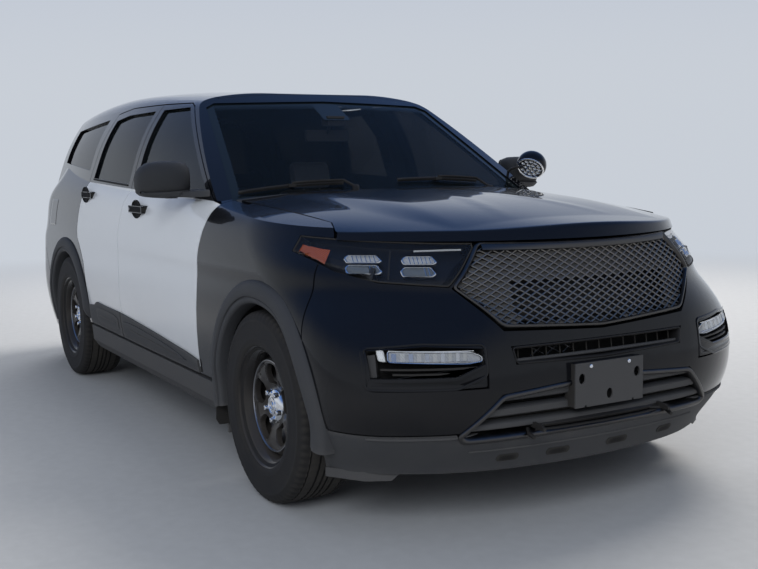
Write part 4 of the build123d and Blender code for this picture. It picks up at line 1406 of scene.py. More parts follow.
def shrunk(outline: Outline, amount: float) -> list:
    """Closed flat outline moved inwards by an amount."""
    made = []
    area = sum(
        x0 * y1 - x1 * y0 for (x0, y0), (x1, y1) in zip(outline, [*outline[1:], outline[0]]))
    sign = 1 if area > 0 else -1
    for i, (x, y) in enumerate(outline):
        px, py = outline[i - 1]
        nx, ny = outline[(i + 1) % len(outline)]
        a = Vector((x - px, y - py)).normalized()
        b = Vector((nx - x, ny - y)).normalized()
        lean = Vector((-(a.y + b.y), a.x + b.x))
        lean = lean.normalized() if lean.length > 1e-6 else Vector((-a.y, a.x))
        grow = min(2.2, 1 / max(0.3, lean.dot(Vector((-a.y, a.x)))))
        made.append((x + sign * lean.x * amount * grow, y + sign * lean.y * amount * grow))
    return made


@dataclass
class BonnetLid:
    """Bonnet skin with a raised middle between two flanks and a rounded front lip.

    Attributes:
        rise: Height of the raised middle.
        flanks: (x, inner y, outer y) of each flank.
        ridge: (x, y) of the low crease inside each flank.
        half: (x, y) of the shut line.
        sill: Height of the foot of the front lip.
        thick: Distance from the skin to the underside.
        rear_search: x of a place behind the lid's rear edge and of one before it.
        front_search: x of a place before the lid's front edge and of one behind it.
        columns: Strips across the lid.
        rows: Strips along it.
    """

    rise: float = 0.015
    flanks: Stations = (
        (1.00, 0.560, 0.650), (1.19, 0.516, 0.636), (1.63, 0.430, 0.606), (2.00, 0.430, 0.572),
        (2.27, 0.466, 0.510), (2.50, 0.500, 0.530),
    )
    ridge: Outline = ((1.30, 0.050), (1.78, 0.130), (2.21, 0.220), (2.34, 0.245))
    half: Outline = ((1.00, 0.797), (1.40, 0.787), (1.86, 0.759), (1.96, 0.797), (2.6, 0.797))
    sill: float = 1.050
    thick: float = 0.020
    rear_search: tuple[float, float] = (0.98, 1.30)
    front_search: tuple[float, float] = (2.50, 1.80)
    columns: int = 72
    rows: int = 90

    def lift(self, x: float, y: float) -> float:
        """Height of the raised middle over the plain surface."""
        inner = flow_at([(a, b) for a, b, _ in self.flanks], x)
        outer = flow_at([(a, c) for a, _, c in self.flanks], x)
        t = min(1.0, max(0.0, (abs(y) - inner) / max(0.010, outer - inner)))
        fade = math.sin(math.pi / 2 * min(1.0, max(0.0, (2.29 - x) / 0.55)))
        fade *= math.sin(math.pi / 2 * min(1.0, max(0.0, (x - 1.00) / 0.40))) ** 2
        main = self.rise * fade * (1 - t * t * (3 - 2 * t))
        middle = flow_at(self.ridge, x)
        near = max(0.0, 1 - abs(abs(y) - middle) / 0.05)
        hump = math.sin(math.pi * min(1.0, max(0.0, (x - 1.45) / 0.85)))
        share = near if abs(y) > middle else 0.4 + 0.6 * near
        return main + 0.0035 * hump * share

    def width(self, x: float) -> float:
        """Half width of the lid at a station."""
        return edge_at(self.half, x)

    def ends(self, skin: Skin, share: float) -> tuple[float, float]:
        """Rear and front ends of the lid at a share of its half width."""

        def covers(x: float) -> bool:
            """Whether the lid reaches the station."""
            return skin.top(x, share * (self.width(x) - 0.0008)) is not None

        return brink(*self.rear_search, covers, 22), brink(*self.front_search, covers, 22)

    def lip(self, line: list[Vector], corner: Vector, course: Vector) -> None:
        """Continue one column round the front edge and back under it.

        Args:
            line: The column, which is extended.
            corner: Where the plain surface ends.
            course: Direction of the front edge.
        """
        out = Vector((course.y, -course.x, 0))
        out = out if out.x > 0 else -out
        foot = corner + out * ((corner.z - self.sill) * 0.38)
        foot.z = self.sill
        start, down = line[-1], corner.lerp(foot, 0.26)
        for k in range(1, 6):
            t = k / 5
            line.append(start * (1 - t) ** 2 + corner * 2 * t * (1 - t) + down * t**2)
        line.extend(down.lerp(foot, k / 3) for k in range(1, 4))
        line.append(foot - out * 0.020)
        line.append(foot - out * 0.020 + UP * 0.030)

    def build(self) -> None:
        """Make the bonnet."""
        skin = Skin("bonnet")
        plain = Bulge("bonnet", 0.0, (0.0, 0.78), (1.06, 2.38), level=True)
        top, edge = [], []
        for c in range(self.columns + 1):
            s = lerp(-1, 1, c / self.columns)
            s = math.copysign(abs(s) ** 0.92, s)
            rear, front = self.ends(skin, s)
            line = []
            for r in range(self.rows + 1):
                x = lerp(rear, front - 0.009, r / self.rows)
                y = s * self.width(x)
                line.append(Vector((x, y, plain.value(y, x) + self.lift(x, y))))
            top.append(line)
            edge.append(Vector((front, s * self.width(front), 0)))
        for c, (line, end) in enumerate(zip(top, edge)):
            course = (edge[min(self.columns, c + 1)] - edge[max(0, c - 1)]).normalized()
            self.lip(line, Vector((end.x, end.y, plain.value(end.y, end.x))), course)
        under = [[p - UP * self.thick for p in line[: self.rows - 2]] for line in top]
        form = Form().patch(top, 0)
        form.patch(under, 1)
        for side in (0, -1):
            form.patch([top[side][: self.rows - 2], under[side]], 0)
        form.patch([[line[0] for line in top], [line[0] for line in under]], 0)
        form.piece("bonnet_skin", ["black_paint", "jamb_black"], slot="black_paint", body="bonnet",
                   replaces=["bonnet"])


@dataclass
class Headlamps:
    """Dark lamp units with two pairs of stacked projectors behind clear lenses.

    Attributes:
        top: (y, z) of the upper edge.
        foot: (y, z) of the lower edge.
        pivot: Plan point from which the outline is scanned.
        depth: Depth of the housing.
        middles: Heights at which a column's middle is looked for.
        tips: x of the last columns, behind the scanned ones.
        tip_height: Height of the lamp's rear tip.
        sweep: First and last direction of the scan in degrees.
        sunk: Distance of the projectors behind the lens.
        amber: Range of x of the side reflector.
        projectors: (middle, half size, whether it is an upper one), in pixels of the main view.
        guide: Pixels of the main view along the bright strip.
        rib: Pixels of the main view along the dark rib between the projectors.
    """

    top: Outline = ((0.448, 1.040), (0.760, 1.050), (0.900, 1.062), (1.000, 1.072))
    foot: Outline = (
        (0.448, 1.040), (0.572, 0.898), (0.760, 0.912), (0.850, 0.946), (0.900, 1.000),
        (0.940, 1.054), (1.000, 1.062),
    )
    pivot: tuple[float, float] = (1.72, 0.28)
    depth: float = 0.046
    middles: tuple[float, ...] = (1.03, 1.045, 1.0, 1.055, 0.96)
    tips: tuple[float, ...] = (1.872, 1.854, 1.838, 1.8235)
    tip_height: float = 1.035
    sweep: tuple[float, float] = (14.5, 82.0)
    sunk: float = 0.016
    amber: tuple[float, float] = (1.835, 1.975)
    projectors: Sequence[tuple[float, float, float, float, bool]] = (
        (361.5, 257.5, 20.0, 3.9, True), (362.0, 268.2, 20.0, 5.2, False),
        (418.5, 259.0, 19.0, 4.2, True), (418.0, 270.8, 19.0, 5.6, False),
    )
    guide: Outline = ((461, 248.2), (445, 248.5), (429, 249.0), (413, 249.5))
    rib: Outline = ((389, 249.0), (388, 262.0), (387, 279.0))

    def scan(self, skin: Skin, angle: float, z: float) -> Optional[tuple[Vector, Vector]]:
        """Skin point and normal in one direction from the pivot."""
        course = Vector((math.cos(angle), math.sin(angle), 0))
        start = Vector((*self.pivot, z)) + course * 2
        spot, normal = skin.cast(start, -course)
        return (spot, normal) if spot else None

    def height(self, y: float, share: float) -> float:
        """Height at a share of the way from the lower edge to the upper one."""
        return lerp(edge_at(self.foot, y), edge_at(self.top, y), share)

    def column(self, skin: Skin, angle: float, rows: int) -> Optional[Column]:
        """Skin points with normals up the lamp's face, in one direction from the pivot."""
        middle = next(filter(None, (self.scan(skin, angle, z) for z in self.middles)), None)
        column = []
        for r in range(rows + 1):
            found = middle
            for _ in range(4):
                if found is None:
                    return None
                found = self.scan(skin, angle, self.height(found[0].y, lerp(0.015, 0.985, r / rows)))
            if found is None:
                return None
            column.append(found)
        return column

    def grid(self, skin: Skin, rows: int = 10) -> list[Column]:
        """Columns of skin points with normals over the left lamp's face."""
        angles = [math.radians(lerp(*self.sweep, k / 120)) for k in range(121)]
        columns = [c for c in (self.column(skin, angle, rows) for angle in angles) if c]
        inward = Vector((0, -1, 0))
        for x in self.tips:
            middle, _ = skin.cast(Vector((x, 2, self.tip_height)), inward)
            if middle is None or x > columns[-1][0][0].x:
                continue
            column = []
            for r in range(rows + 1):
                z = self.height(middle.y, lerp(0.03, 0.97, r / rows))
                spot, normal = skin.cast(Vector((x, 2, z)), inward)
                column.append((spot or middle, normal))
            columns.append(column)
        return columns

    @staticmethod
    def under(column: Column, row: int, deep: float) -> Vector:
        """Grid point moved inwards."""
        spot, normal = column[row]
        return spot - normal * deep

    @staticmethod
    def seen(skin: Skin, px: float, py: float, deep: float) -> Vector:
        """Point behind the left lens, opposite one that the main view shows in the right lamp.

        Args:
            skin: Surface of the lamps.
            px: Pixel from the left of the main view.
            py: Pixel from its top; the first row below it that meets the lamp is taken.
            deep: Distance behind the lens.

        Returns:
            The point.
        """
        view = Camera()
        hits = (skin.cast(Vector(view.spot), view.ray(px, py + step)) for step in range(view.size[1]))
        spot, normal = next(hit for hit in hits if hit[0])
        spot = spot - normal * deep
        return Vector((spot.x, -spot.y, spot.z))

    def housing(self, columns: list[Column]) -> Form:
        """Dark tub behind the lens, with a seal round its edge."""
        rows, wide = len(columns[0]), len(columns)
        ring = [(0, c) for c in range(wide)] + [(r, wide - 1) for r in range(1, rows)]
        ring += [(rows - 1, c) for c in range(wide - 2, -1, -1)] + [(r, 0) for r in range(rows - 2, 0, -1)]

        def edge(deep: float) -> list[Vector]:
            """The rim of the lens, moved inwards."""
            return [self.under(columns[c], r, deep) for r, c in ring]

        form = Form().patch([edge(d) for d in (0.0005, 0.004, 0.020, self.depth)], 0, around=True)
        form.patch([[self.under(column, r, self.depth) for column in columns] for r in range(rows)], 0)
        return form.tube(edge(-0.0006), 0.0028, 6, 1, closed=True)

    def projector(
        self, skin: Skin, trims: Form, glows: Form, px: float, py: float, half: float, high: float,
        upper: bool,
    ) -> None:
        """Add a bright frame with a fluted face.

        Args:
            skin: Surface of the lamps.
            trims: Form of the bright parts.
            glows: Form of the faces.
            px: Middle in pixels of the main view, across.
            py: Middle in pixels, down.
            half: Half width in pixels.
            high: Half height in pixels.
            upper: Whether it is the upper one of its pair.
        """
        deep = self.sunk
        spot = self.seen(skin, px, py, deep)
        along = (self.seen(skin, px - half, py, deep) - self.seen(skin, px + half, py, deep)) / 2
        lift = (self.seen(skin, px, py - high, deep) - self.seen(skin, px, py + high, deep)) / 2
        half, high = along.length, lift.length
        along, lift = along.normalized(), lift.normalized()
        out = lift.cross(along).normalized()
        out = out if out.x > 0 else -out
        outline = rounded(
            [(-half, -high * 0.4), (-half * 0.72, high), (half * 0.82, high), (half, high * 0.2),
             (half * 0.85, -high), (-half * 0.80, -high)], 0.008, 4)

        def ring(wide: float, tall: float, lean: float) -> list[Vector]:
            """The outline, scaled and moved towards the lens."""
            return [spot + along * (u * wide) + lift * (v * tall) + out * lean for u, v in outline]

        rim = ((1.0, 1.0, -0.012), (1.0, 1.0, 0.005), (0.95, 0.89, 0.0080), (0.89, 0.83, 0.0070),
               (0.86, 0.80, -0.002))
        face = ((0.86, -0.001), (0.55, 0.0030), (0.2, 0.0045), (0.01, 0.0046))
        trims.patch([ring(*step) for step in rim], 0, around=True)
        rings = [ring(scale, scale * 0.94, lean) for scale, lean in face]
        glows.patch(rings, 0 if upper else 1, around=True)
        for k in range(6 if upper else 2):
            shift = lerp(-0.6, 0.5, k / 5) * half
            trims.tube([
                spot + along * (shift + 0.004 * e) + lift * (high * 0.8 * e) + out * 0.0060 for e in (-1, 1)
            ], 0.0017, 4, 0)

    def build(self) -> None:
        """Make both lamps."""
        skin = Skin("headlamps")
        columns = self.grid(skin)
        rows = len(columns[0])
        housing, trims, glows = self.housing(columns), Form(), Form()
        for projector in self.projectors:
            self.projector(skin, trims, glows, *projector)
        trims.tube([self.seen(skin, px, py, 0.012) for px, py in self.guide], 0.0034, 8, 1)
        housing.tube([self.seen(skin, px, py, self.sunk) for px, py in self.rib], 0.003, 6, 1)
        side = [column for column in columns if self.amber[0] < column[0][0].x < self.amber[1]]
        reds = Form().patch([[self.under(c, r, 0.012) for c in side] for r in range(1, rows - 3)], 0)
        lens = Form().patch([[self.under(c, r, -0.0005) for c in columns] for r in range(rows)], 0)
        self.both(housing, "lamp_housing", ["lamp_black", "seal_rubber"], ["headlamps"])
        self.both(trims, "lamp_projectors", ["chrome", "lamp_white"])
        self.both(glows, "lamp_bulbs", ["lamp_flutes", "lamp_bulb"])
        self.both(reds, "side_reflector", ["lamp_amber"])
        self.both(lens, "lamp_lens", ["lamp_clear"], edge=Edge.SMOOTH)

    @staticmethod
    def both(
        form: Form, name: str, finishes: Sequence[str], replaces: Sequence[str] = (),
        edge: Edge = Edge.CRISP,
    ) -> None:
        """Make one piece of a left form and its mirror image."""
        whole = Form().join(form).join(form.mirrored())
        whole.piece(name, finishes, slot="lamp_lens", edge=edge, replaces=replaces)


@dataclass
class Grille:
    """Diamond lattice with closed scales round an open middle, in a satin surround.

    Attributes:
        outline: Left half (y, z), from the middle of the top.
        window: Left half (y, z) of the open middle.
        pitch: Width and height of a diamond.
        middle: Height of the diamonds that the lattice is counted from.
        depth: How far the lattice lies behind the surround.
        section: (inset, depth) pairs across the surround.
    """

    outline: Outline = ((0.0, 1.036), (0.434, 1.036), (0.552, 0.893), (0.419, 0.752), (0.0, 0.730))
    window: Outline = ((0.0, 0.905), (0.372, 0.905), (0.345, 0.768), (0.0, 0.748))
    pitch: tuple[float, float] = (0.0435, 0.0245)
    middle: float = 0.89
    depth: float = 0.014
    section: Outline = (
        (-0.003, 0.012), (-0.002, 0.001), (0.001, -0.0025), (0.006, -0.003), (0.009, 0.001),
        (0.0105, 0.014),
    )

    @staticmethod
    def whole(half: Outline) -> list:
        """Closed outline of a left half and its mirror image."""
        return [*half, *[(-y, z) for y, z in reversed(half) if y > 0]]

    @staticmethod
    def inside(ring: Outline, y: float, z: float) -> bool:
        """Whether a point lies inside a closed outline."""
        hit = False
        for (y0, z0), (y1, z1) in zip(ring, [*ring[1:], ring[0]]):
            if (z0 > z) != (z1 > z) and y < (y1 - y0) * (z - z0) / (z1 - z0) + y0:
                hit = not hit
        return hit

    def build(self) -> None:
        """Make the lattice, the scales, the well and the surround."""
        face = Bulge("grille", 0.020, (0.0, 0.55), (0.735, 1.035))
        outer = rounded(self.whole(self.outline), 0.020, 4)
        field_edge = shrunk(outer, 0.010)
        self.lattice(face, field_edge)
        self.scales(face, field_edge)
        self.well(face, dense(outer, 0.02))
        self.surround(face, dense(outer, 0.016))

    def lattice(self, face: Bulge, field_edge: Outline) -> None:
        """Two sets of slanting wires, each cut where it leaves the field."""
        form = Form()
        wide, tall = self.pitch
        steps = 240
        for slope in (-tall / wide, tall / wide):
            for n in range(-60, 61):
                run: list[Vector] = []
                for k in range(steps + 1):
                    y = lerp(-0.56, 0.56, k / steps)
                    z = self.middle + slope * y + n * tall
                    within = self.inside(field_edge, y, z)
                    if within:
                        run.append(face.at(y, z, self.depth - 0.003))
                    if run and (k == steps or not within):
                        if len(run) > 2:
                            form.tube([run[0], *run[2:-1:3], run[-1]], 0.0029, 5, 0)
                        run = []
        form.piece("grille_lattice", ["grille_wire"], replaces=["grille"])

    def scales(self, face: Bulge, field_edge: Outline) -> None:
        """Leaning scales in the diamonds round the open middle."""
        form = Form()
        opening = self.whole(self.window)
        wide, tall = self.pitch
        for i in range(-30, 31):
            for k in range(-30, 31):
                y = (i - k) * wide / 2
                z = self.middle + (i + k + 1) * tall / 2
                if not self.inside(field_edge, y, z) or self.inside(opening, y, z):
                    continue
                corners = ((y, z + tall / 2, 0.013), (y - wide / 2, z, 0.006), (y, z - tall / 2, -0.001),
                           (y + wide / 2, z, 0.006))
                scale = [face.at(cy, cz, self.depth + deep) for cy, cz, deep in corners]
                form.add(scale, [(3, 2, 1, 0)], 0)
        form.piece("grille_scales", ["grille_scale"], edge=Edge.CRISP, recount=False)

    @staticmethod
    def well(face: Bulge, ring: Outline) -> None:
        """Dark box behind the lattice, with three rails."""
        rows = face.rings(ring, ((0, 0.0), (0, 0.03), (0, 0.075)))
        form = Form().patch(rows, 0, around=True)
        form.fan(rows[-1], face.at(0, 0.88, 0.078))
        for z in (0.78, 0.83, 0.88):
            form.tube(face.run(-0.36, 0.36, z, 0.055, 12), 0.006, 6, 1)
        form.piece("grille_well", ["pit_black", "satin_black"])

    def surround(self, face: Bulge, path: Outline) -> None:
        """Rounded rim with a flat strip along its top."""
        form = Form().patch(face.rings(path, self.section), 0, around=True)
        brow = dense([(y, 1.020) for y in (-0.425, -0.3, -0.15, 0, 0.15, 0.3, 0.425)], 0.03, closed=False)
        strip = ((0.010, 0.010), (0.010, -0.001), (0.002, -0.003), (-0.010, 0.002), (-0.012, 0.014))
        form.patch([[face.at(y, z + dz, deep) for y, z in brow] for dz, deep in strip], 0)
        form.piece("grille_surround", ["satin_bronze"])


@dataclass
class RunningLamps:
    """Corner pockets with a fluted light bar, fins and a painted blade.

    Attributes:
        pocket: (y, z) outline of the left pocket.
        light: (y, z) outline of its light bar.
        lamp: (y, z) outline of the small lamp beyond the bar.
        blade: (y, z) outline of the painted blade below it.
        middle: (y, z) of the light bar's middle.
        depth: Depth of the pocket.
    """

    pocket: Outline = (
        (0.499, 0.702), (0.700, 0.709), (0.856, 0.692), (0.862, 0.562), (0.600, 0.561), (0.499, 0.600),
    )
    light: Outline = (
        (0.508, 0.666), (0.545, 0.682), (0.795, 0.690), (0.800, 0.650), (0.560, 0.640), (0.508, 0.646),
    )
    lamp: Outline = ((0.803, 0.692), (0.822, 0.691), (0.822, 0.655), (0.803, 0.652))
    blade: Outline = (
        (0.499, 0.640), (0.516, 0.636), (0.600, 0.602), (0.850, 0.600), (0.861, 0.561), (0.499, 0.561),
    )
    middle: tuple[float, float] = (0.655, 0.667)
    depth: float = 0.058

    def build(self) -> None:
        """Make both pockets."""
        face = Bulge("running_lamps", 0.024, (0.505, 0.855), (0.565, 0.685))
        path = dense(rounded(self.light, 0.012, 4), 0.012)
        lens = Form().fan(face.rings(path, ((0.0025, 0.0062),))[0], face.at(*self.middle, 0.0045))
        finishes = ["pit_black", "satin_black", "grain_dark", "black_paint"]
        Headlamps.both(self.well(face), "corner_pocket", finishes, ["running_lamps"])
        Headlamps.both(self.bar(face, path), "running_light", ["chrome", "lamp_flutes", "lamp_white"])
        Headlamps.both(lens, "running_lens", ["lamp_clear"])
        Headlamps.both(self.paint(face), "painted_blade", ["black_paint"])

    def well(self, face: Bulge) -> Form:
        """Pocket with a painted rim, two fins and an upright at its outer end."""
        edge = dense(rounded(self.pocket, 0.018, 4), 0.014)
        rim = ((-0.004, -0.0015), (-0.001, -0.0030), (0.004, -0.002), (0.007, 0.004))
        well = Form().patch(face.rings(edge, rim), 3, around=True)
        rows = face.rings(edge, ((0.007, 0.004), (0.014, self.depth)))
        well.patch(rows, 0, around=True)
        well.fan(rows[-1], sum(rows[-1], Vector()) / len(rows[-1]))
        fin = ((0.0, 0.048), (0.004, 0.014), (0.002, 0.010), (-0.003, 0.011), (-0.007, 0.048))
        for z, start, end in ((0.612, 0.530, 0.790), (0.628, 0.520, 0.820)):
            well.patch([face.run(start, end, z + dz, deep, 8) for dz, deep in fin], 1)
        plate = [(0.828, 0.676), (0.852, 0.672), (0.855, 0.600), (0.832, 0.602)]
        return well.loft([[face.at(y, z, d) for y, z in plate] for d in (0.05, 0.018)], 2)

    def bar(self, face: Bulge, path: Outline) -> Form:
        """Bright frame round a fluted face with ten cells, and the small lamp beyond it."""
        frame_steps = ((0.0, 0.05), (0.0, 0.010), (0.0015, 0.007), (0.0035, 0.0075), (0.0045, 0.011))
        bar = Form().patch(face.rings(path, frame_steps), 0, around=True)
        rows = face.rings(path, ((0.0045, 0.0165), (0.012, 0.018)))
        bar.patch(rows, 1, around=True)
        bar.fan(rows[0], face.at(*self.middle, 0.018), 1)
        for k in range(10):
            y = lerp(0.560, 0.775, k / 9)
            cell = ((y, 0.652, 0.017), (y + 0.013, 0.652, 0.0125), (y + 0.010, 0.680, 0.0125),
                    (y - 0.003, 0.680, 0.017))
            bar.add([face.at(*corner) for corner in cell], [(0, 1, 2, 3)], 0 if k % 2 else 2)
        for z in (0.648, 0.684):
            line = [face.at(lerp(0.535, 0.79, k / 10), z + 0.0004 * k, 0.0105) for k in range(11)]
            bar.tube(line, 0.0022, 6, 0)
        lamp = dense(rounded(self.lamp, 0.006, 3), 0.01)
        rows = face.rings(lamp, ((0.0, 0.045), (0.0, 0.008), (0.003, 0.004), (0.008, 0.003)))
        bar.patch(rows, 2, around=True)
        return bar.add(rows[-1], [tuple(range(len(rows[-1])))], 2)

    def paint(self, face: Bulge) -> Form:
        """Painted blade along the foot of the pocket."""
        path = dense(rounded(self.blade, 0.006, 3), 0.016)
        steps = ((0.0, 0.045), (0.0, 0.003), (0.0025, -0.001), (0.007, -0.0015), (0.013, -0.0005))
        rows = face.rings(path, steps)
        return Form().patch(rows, 0, around=True).add(rows[-1], [tuple(range(len(path)))], 0)


@dataclass
class LowerFront:
    """Upper slot, trapezoid intake with its slats, plate bracket, crossbar and valance lip.

    Attributes:
        slot: (y, z) outline of the upper slot.
        intake: (y, z) outline of the lower intake.
        slats: (low z, high z, half width) of each slat.
        pockets: Range of y of each near-black plate on the valance, painted shade standing in for a slot.
        deflector: (x, |y|) points along each corner's deflector.
        plate_size: Half width, foot and top of the plate bracket.
        holes: (y, z) of the holes in the bracket.
        bar: (x, y) points along the crossbar.
    """

    slot: Outline = ((-0.397, 0.687), (0.397, 0.687), (0.384, 0.634), (0.0, 0.624), (-0.384, 0.634))
    intake: Outline = (
        (-0.440, 0.527), (0.0, 0.558), (0.440, 0.527), (0.586, 0.392), (0.560, 0.368), (-0.560, 0.368),
        (-0.586, 0.392),
    )
    slats: Stations = ((0.502, 0.536, 0.455), (0.448, 0.478, 0.505), (0.400, 0.424, 0.548))
    pockets: Outline = ((-0.425, -0.330), (-0.225, -0.115), (0.050, 0.165), (0.330, 0.425))
    deflector: Outline = ((2.060, 0.905), (2.190, 0.820), (2.265, 0.715))
    plate_size: tuple[float, float, float] = (0.160, 0.452, 0.612)
    holes: Outline = ((-0.130, 0.556), (0.130, 0.556), (0.0, 0.490))
    bar: Outline = (
        (2.478, -0.290), (2.490, -0.2), (2.495, -0.1), (2.497, 0.0), (2.495, 0.1), (2.490, 0.2),
        (2.478, 0.290),
    )

    def build(self) -> None:
        """Make the pieces."""
        self.slot_well(Bulge("front_bumper", 0.0, (0.0, 0.60), (0.42, 0.72)))
        self.intake_parts(Bulge("lower_intake", 0.020, (0.0, 0.58), (0.37, 0.555)))
        self.plate()
        self.crossbar()
        self.skirt()

    def slot_well(self, face: Bulge) -> None:
        """Dark slot above the bumper bar, with a bright sensor box and mesh behind it."""
        ring = dense(rounded(self.slot, 0.012, 3), 0.02)
        steps = ((-0.004, -0.001), (0.0, -0.002), (0.004, 0.002), (0.006, 0.02), (0.006, 0.085))
        rows = face.rings(ring, steps)
        well = Form().patch(rows, 0, around=True)
        well.fan(rows[-1], face.at(0, 0.655, 0.085), 1)
        well.tube(face.run(-0.385, 0.385, 0.642, 0.018, 14), 0.007, 8, 2)
        for k in range(13):
            y = lerp(-0.36, 0.36, k / 12)
            well.tube([face.at(y, z, 0.030) for z in (0.630, 0.684)], 0.003, 4, 1)
        for y in (-0.27, -0.20, -0.13):
            for s in (-0.028, 0.028):
                well.tube([face.at(y - s, 0.650, 0.045), face.at(y + s, 0.684, 0.045)], 0.003, 4, 3)
        well.piece("upper_slot", ["satin_black", "pit_black", "grain_grey", "satin_metal"])

    def intake_parts(self, face: Bulge) -> None:
        """Satin frame and stepped slats of the lower intake."""
        ring = dense(rounded(self.intake, 0.020, 4), 0.018)
        steps = ((-0.004, 0.006), (-0.003, -0.003), (0.002, -0.007), (0.010, -0.006), (0.015, 0.002),
                 (0.017, 0.020), (0.020, 0.060))
        trim = Form().patch(face.rings(ring, steps), 0, around=True)
        trim.piece("intake_frame", ["satin_bronze"])
        slats = Form()
        for low, high, reach in self.slats:
            section = ((high, 0.050), (high, 0.020), (high - 0.004, 0.014), (low + 0.006, 0.012),
                       (low, 0.018), (low, 0.050))
            slats.patch([face.run(-reach, reach, z, deep, 28) for z, deep in section], 0)
        rows = face.rings(shrunk(ring, 0.018), ((0, 0.05), (0, 0.11)))
        slats.patch(rows, 1, around=True)
        slats.fan(rows[-1], face.at(0, 0.45, 0.11), 1)
        for k in range(9):
            y = lerp(-0.32, 0.32, k / 8)
            slats.tube([face.at(y, z, 0.060) for z in (0.385, 0.53)], 0.0022, 4, 1)
        for z in (0.425, 0.432, 0.439):
            slats.tube(face.run(-0.5, 0.5, z, 0.045, 20), 0.002, 4, 2)
        slats.piece("intake_slats", ["grain_grey", "pit_black", "satin_black"], replaces=["lower_intake"])

    def plate(self) -> None:
        """Blank plate bracket with three holes and two screws."""
        place = Matrix.Translation((2.5470, 0, 0)) @ FACING_NOSE
        half, foot, top = self.plate_size
        notch = [(0.118, foot), (0.116, foot + 0.007), (0.108, foot + 0.007), (0.106, foot)]
        outline = [(-half, top), (half, top), (half, foot), *notch,
                   *[(-y, z) for y, z in reversed(notch)], (-half, foot)]
        form = pierced(outline, [(y, z, 0.0145, 0.019) for y, z in self.holes], place, -0.006, 0.0)
        side = ((2.542, 0.611), (2.516, 0.611), (2.503, 0.560), (2.484, 0.470), (2.480, 0.453),
                (2.542, 0.453))
        for y in (-0.159, 0.156):
            form.loft([[Vector((x, y + e, z)) for x, z in side] for e in (0.0, 0.003)], 1)
        lid = ((2.542, -half), (2.542, half), (2.516, half), (2.516, -half))
        form.add([Vector((x, y, 0.611)) for x, y in lid], [(0, 1, 2, 3)], 1)
        back = ((-0.157, 0.609), (0.157, 0.609), (0.157, 0.455), (-0.157, 0.455))
        form.add([Vector((2.520, y, z)) for y, z in back], [(0, 1, 2, 3)], 2)
        screw = [(0.0075, 0.0), (0.0075, 0.002), (0.0060, 0.0038), (0.0035, 0.0042), (0.0030, 0.0022),
                 (0.0001, 0.002)]
        for y in (-0.090, 0.090):
            form.lathe(screw, place @ Matrix.Translation((y, 0.598, 0)), 14, 3)
        form.piece("plate_holder", ["grain_grey", "satin_black", "pit_black", "chrome"], edge=Edge.CRISP,
                   replaces=["plate_bracket"])

    def crossbar(self) -> None:
        """Black crossbar with two forked arms."""
        form = Form()
        line = [Vector((x, y, 0.397)) for x, y in self.bar]
        form.tube(line, 0.0105, 4, 0, flat=0.75)
        form.tube([p + Vector((0.004, 0, -0.018)) for p in line], 0.006, 6, 0)
        arm = ((2.452, 0.392), (2.452, 0.414), (2.530, 0.408), (2.547, 0.400), (2.547, 0.388),
               (2.530, 0.388))
        prong = ((2.470, 0.312, 0.386), (2.500, 0.330, 0.376), (2.528, 0.326, 0.366))
        brace = ((2.480, 0.250, 0.392), (2.505, 0.300, 0.392))
        for s in (-1, 1):
            form.loft([[Vector((x, s * 0.296 + e, z)) for x, z in arm] for e in (-0.006, 0.006)], 0)
            form.tube([Vector((x, s * y, z)) for x, y, z in prong], 0.008, 6, 0)
            form.tube([Vector((x, s * y, z)) for x, y, z in brace], 0.006, 6, 0)
        form.piece("mount_bar", ["satin_black"], slot="wheel_paint", edge=Edge.CRISP, bevel=0.001,
                   replaces=["crossbar"])

    def skirt(self) -> None:
        """Stepped lip along the valance, near-black plates as painted shade of its slots, and the
        deflectors below its corners.
        """
        skin = Skin("front_valance")
        form = Form()
        for z, reach, high, proud in ((0.3835, 0.86, 0.0065, 0.004), (0.322, 0.5332, 0.004, 0.003)):
            line = [skin.front(lerp(-reach, reach, k / 60), z, proud - high * 0.6) for k in range(61)]
            form.tube([p for p in line if p], high, 6, 0)
        # Painted shade: near-black plates laid proud of the valance stand in for the shade inside its
        # slots.
        for low, high in self.pockets:
            grid = []
            for z in (0.272, 0.280, 0.290, 0.299):
                inset = 0.012 * abs(z - 0.285) / 0.013
                across = [lerp(low + inset, high - inset, k / 6) for k in range(7)]
                grid.append([skin.front(y, z, 0.0022) for y in across])
            form.shell(grid, Vector((-0.006, 0, 0)), 1)
        for sign in (1, -1):
            outer = [Vector((x, sign * y, 0.238)) for x, y in self.deflector]
            low = [p - UP * 0.034 for p in outer]
            low[-1] = outer[-1].lerp(outer[-2], 0.25) - UP * 0.030
            form.shell([outer, low], Vector((-0.008, 0, 0)), 0)
        form.piece("valance_lip", ["grain_grey", "pit_black"])


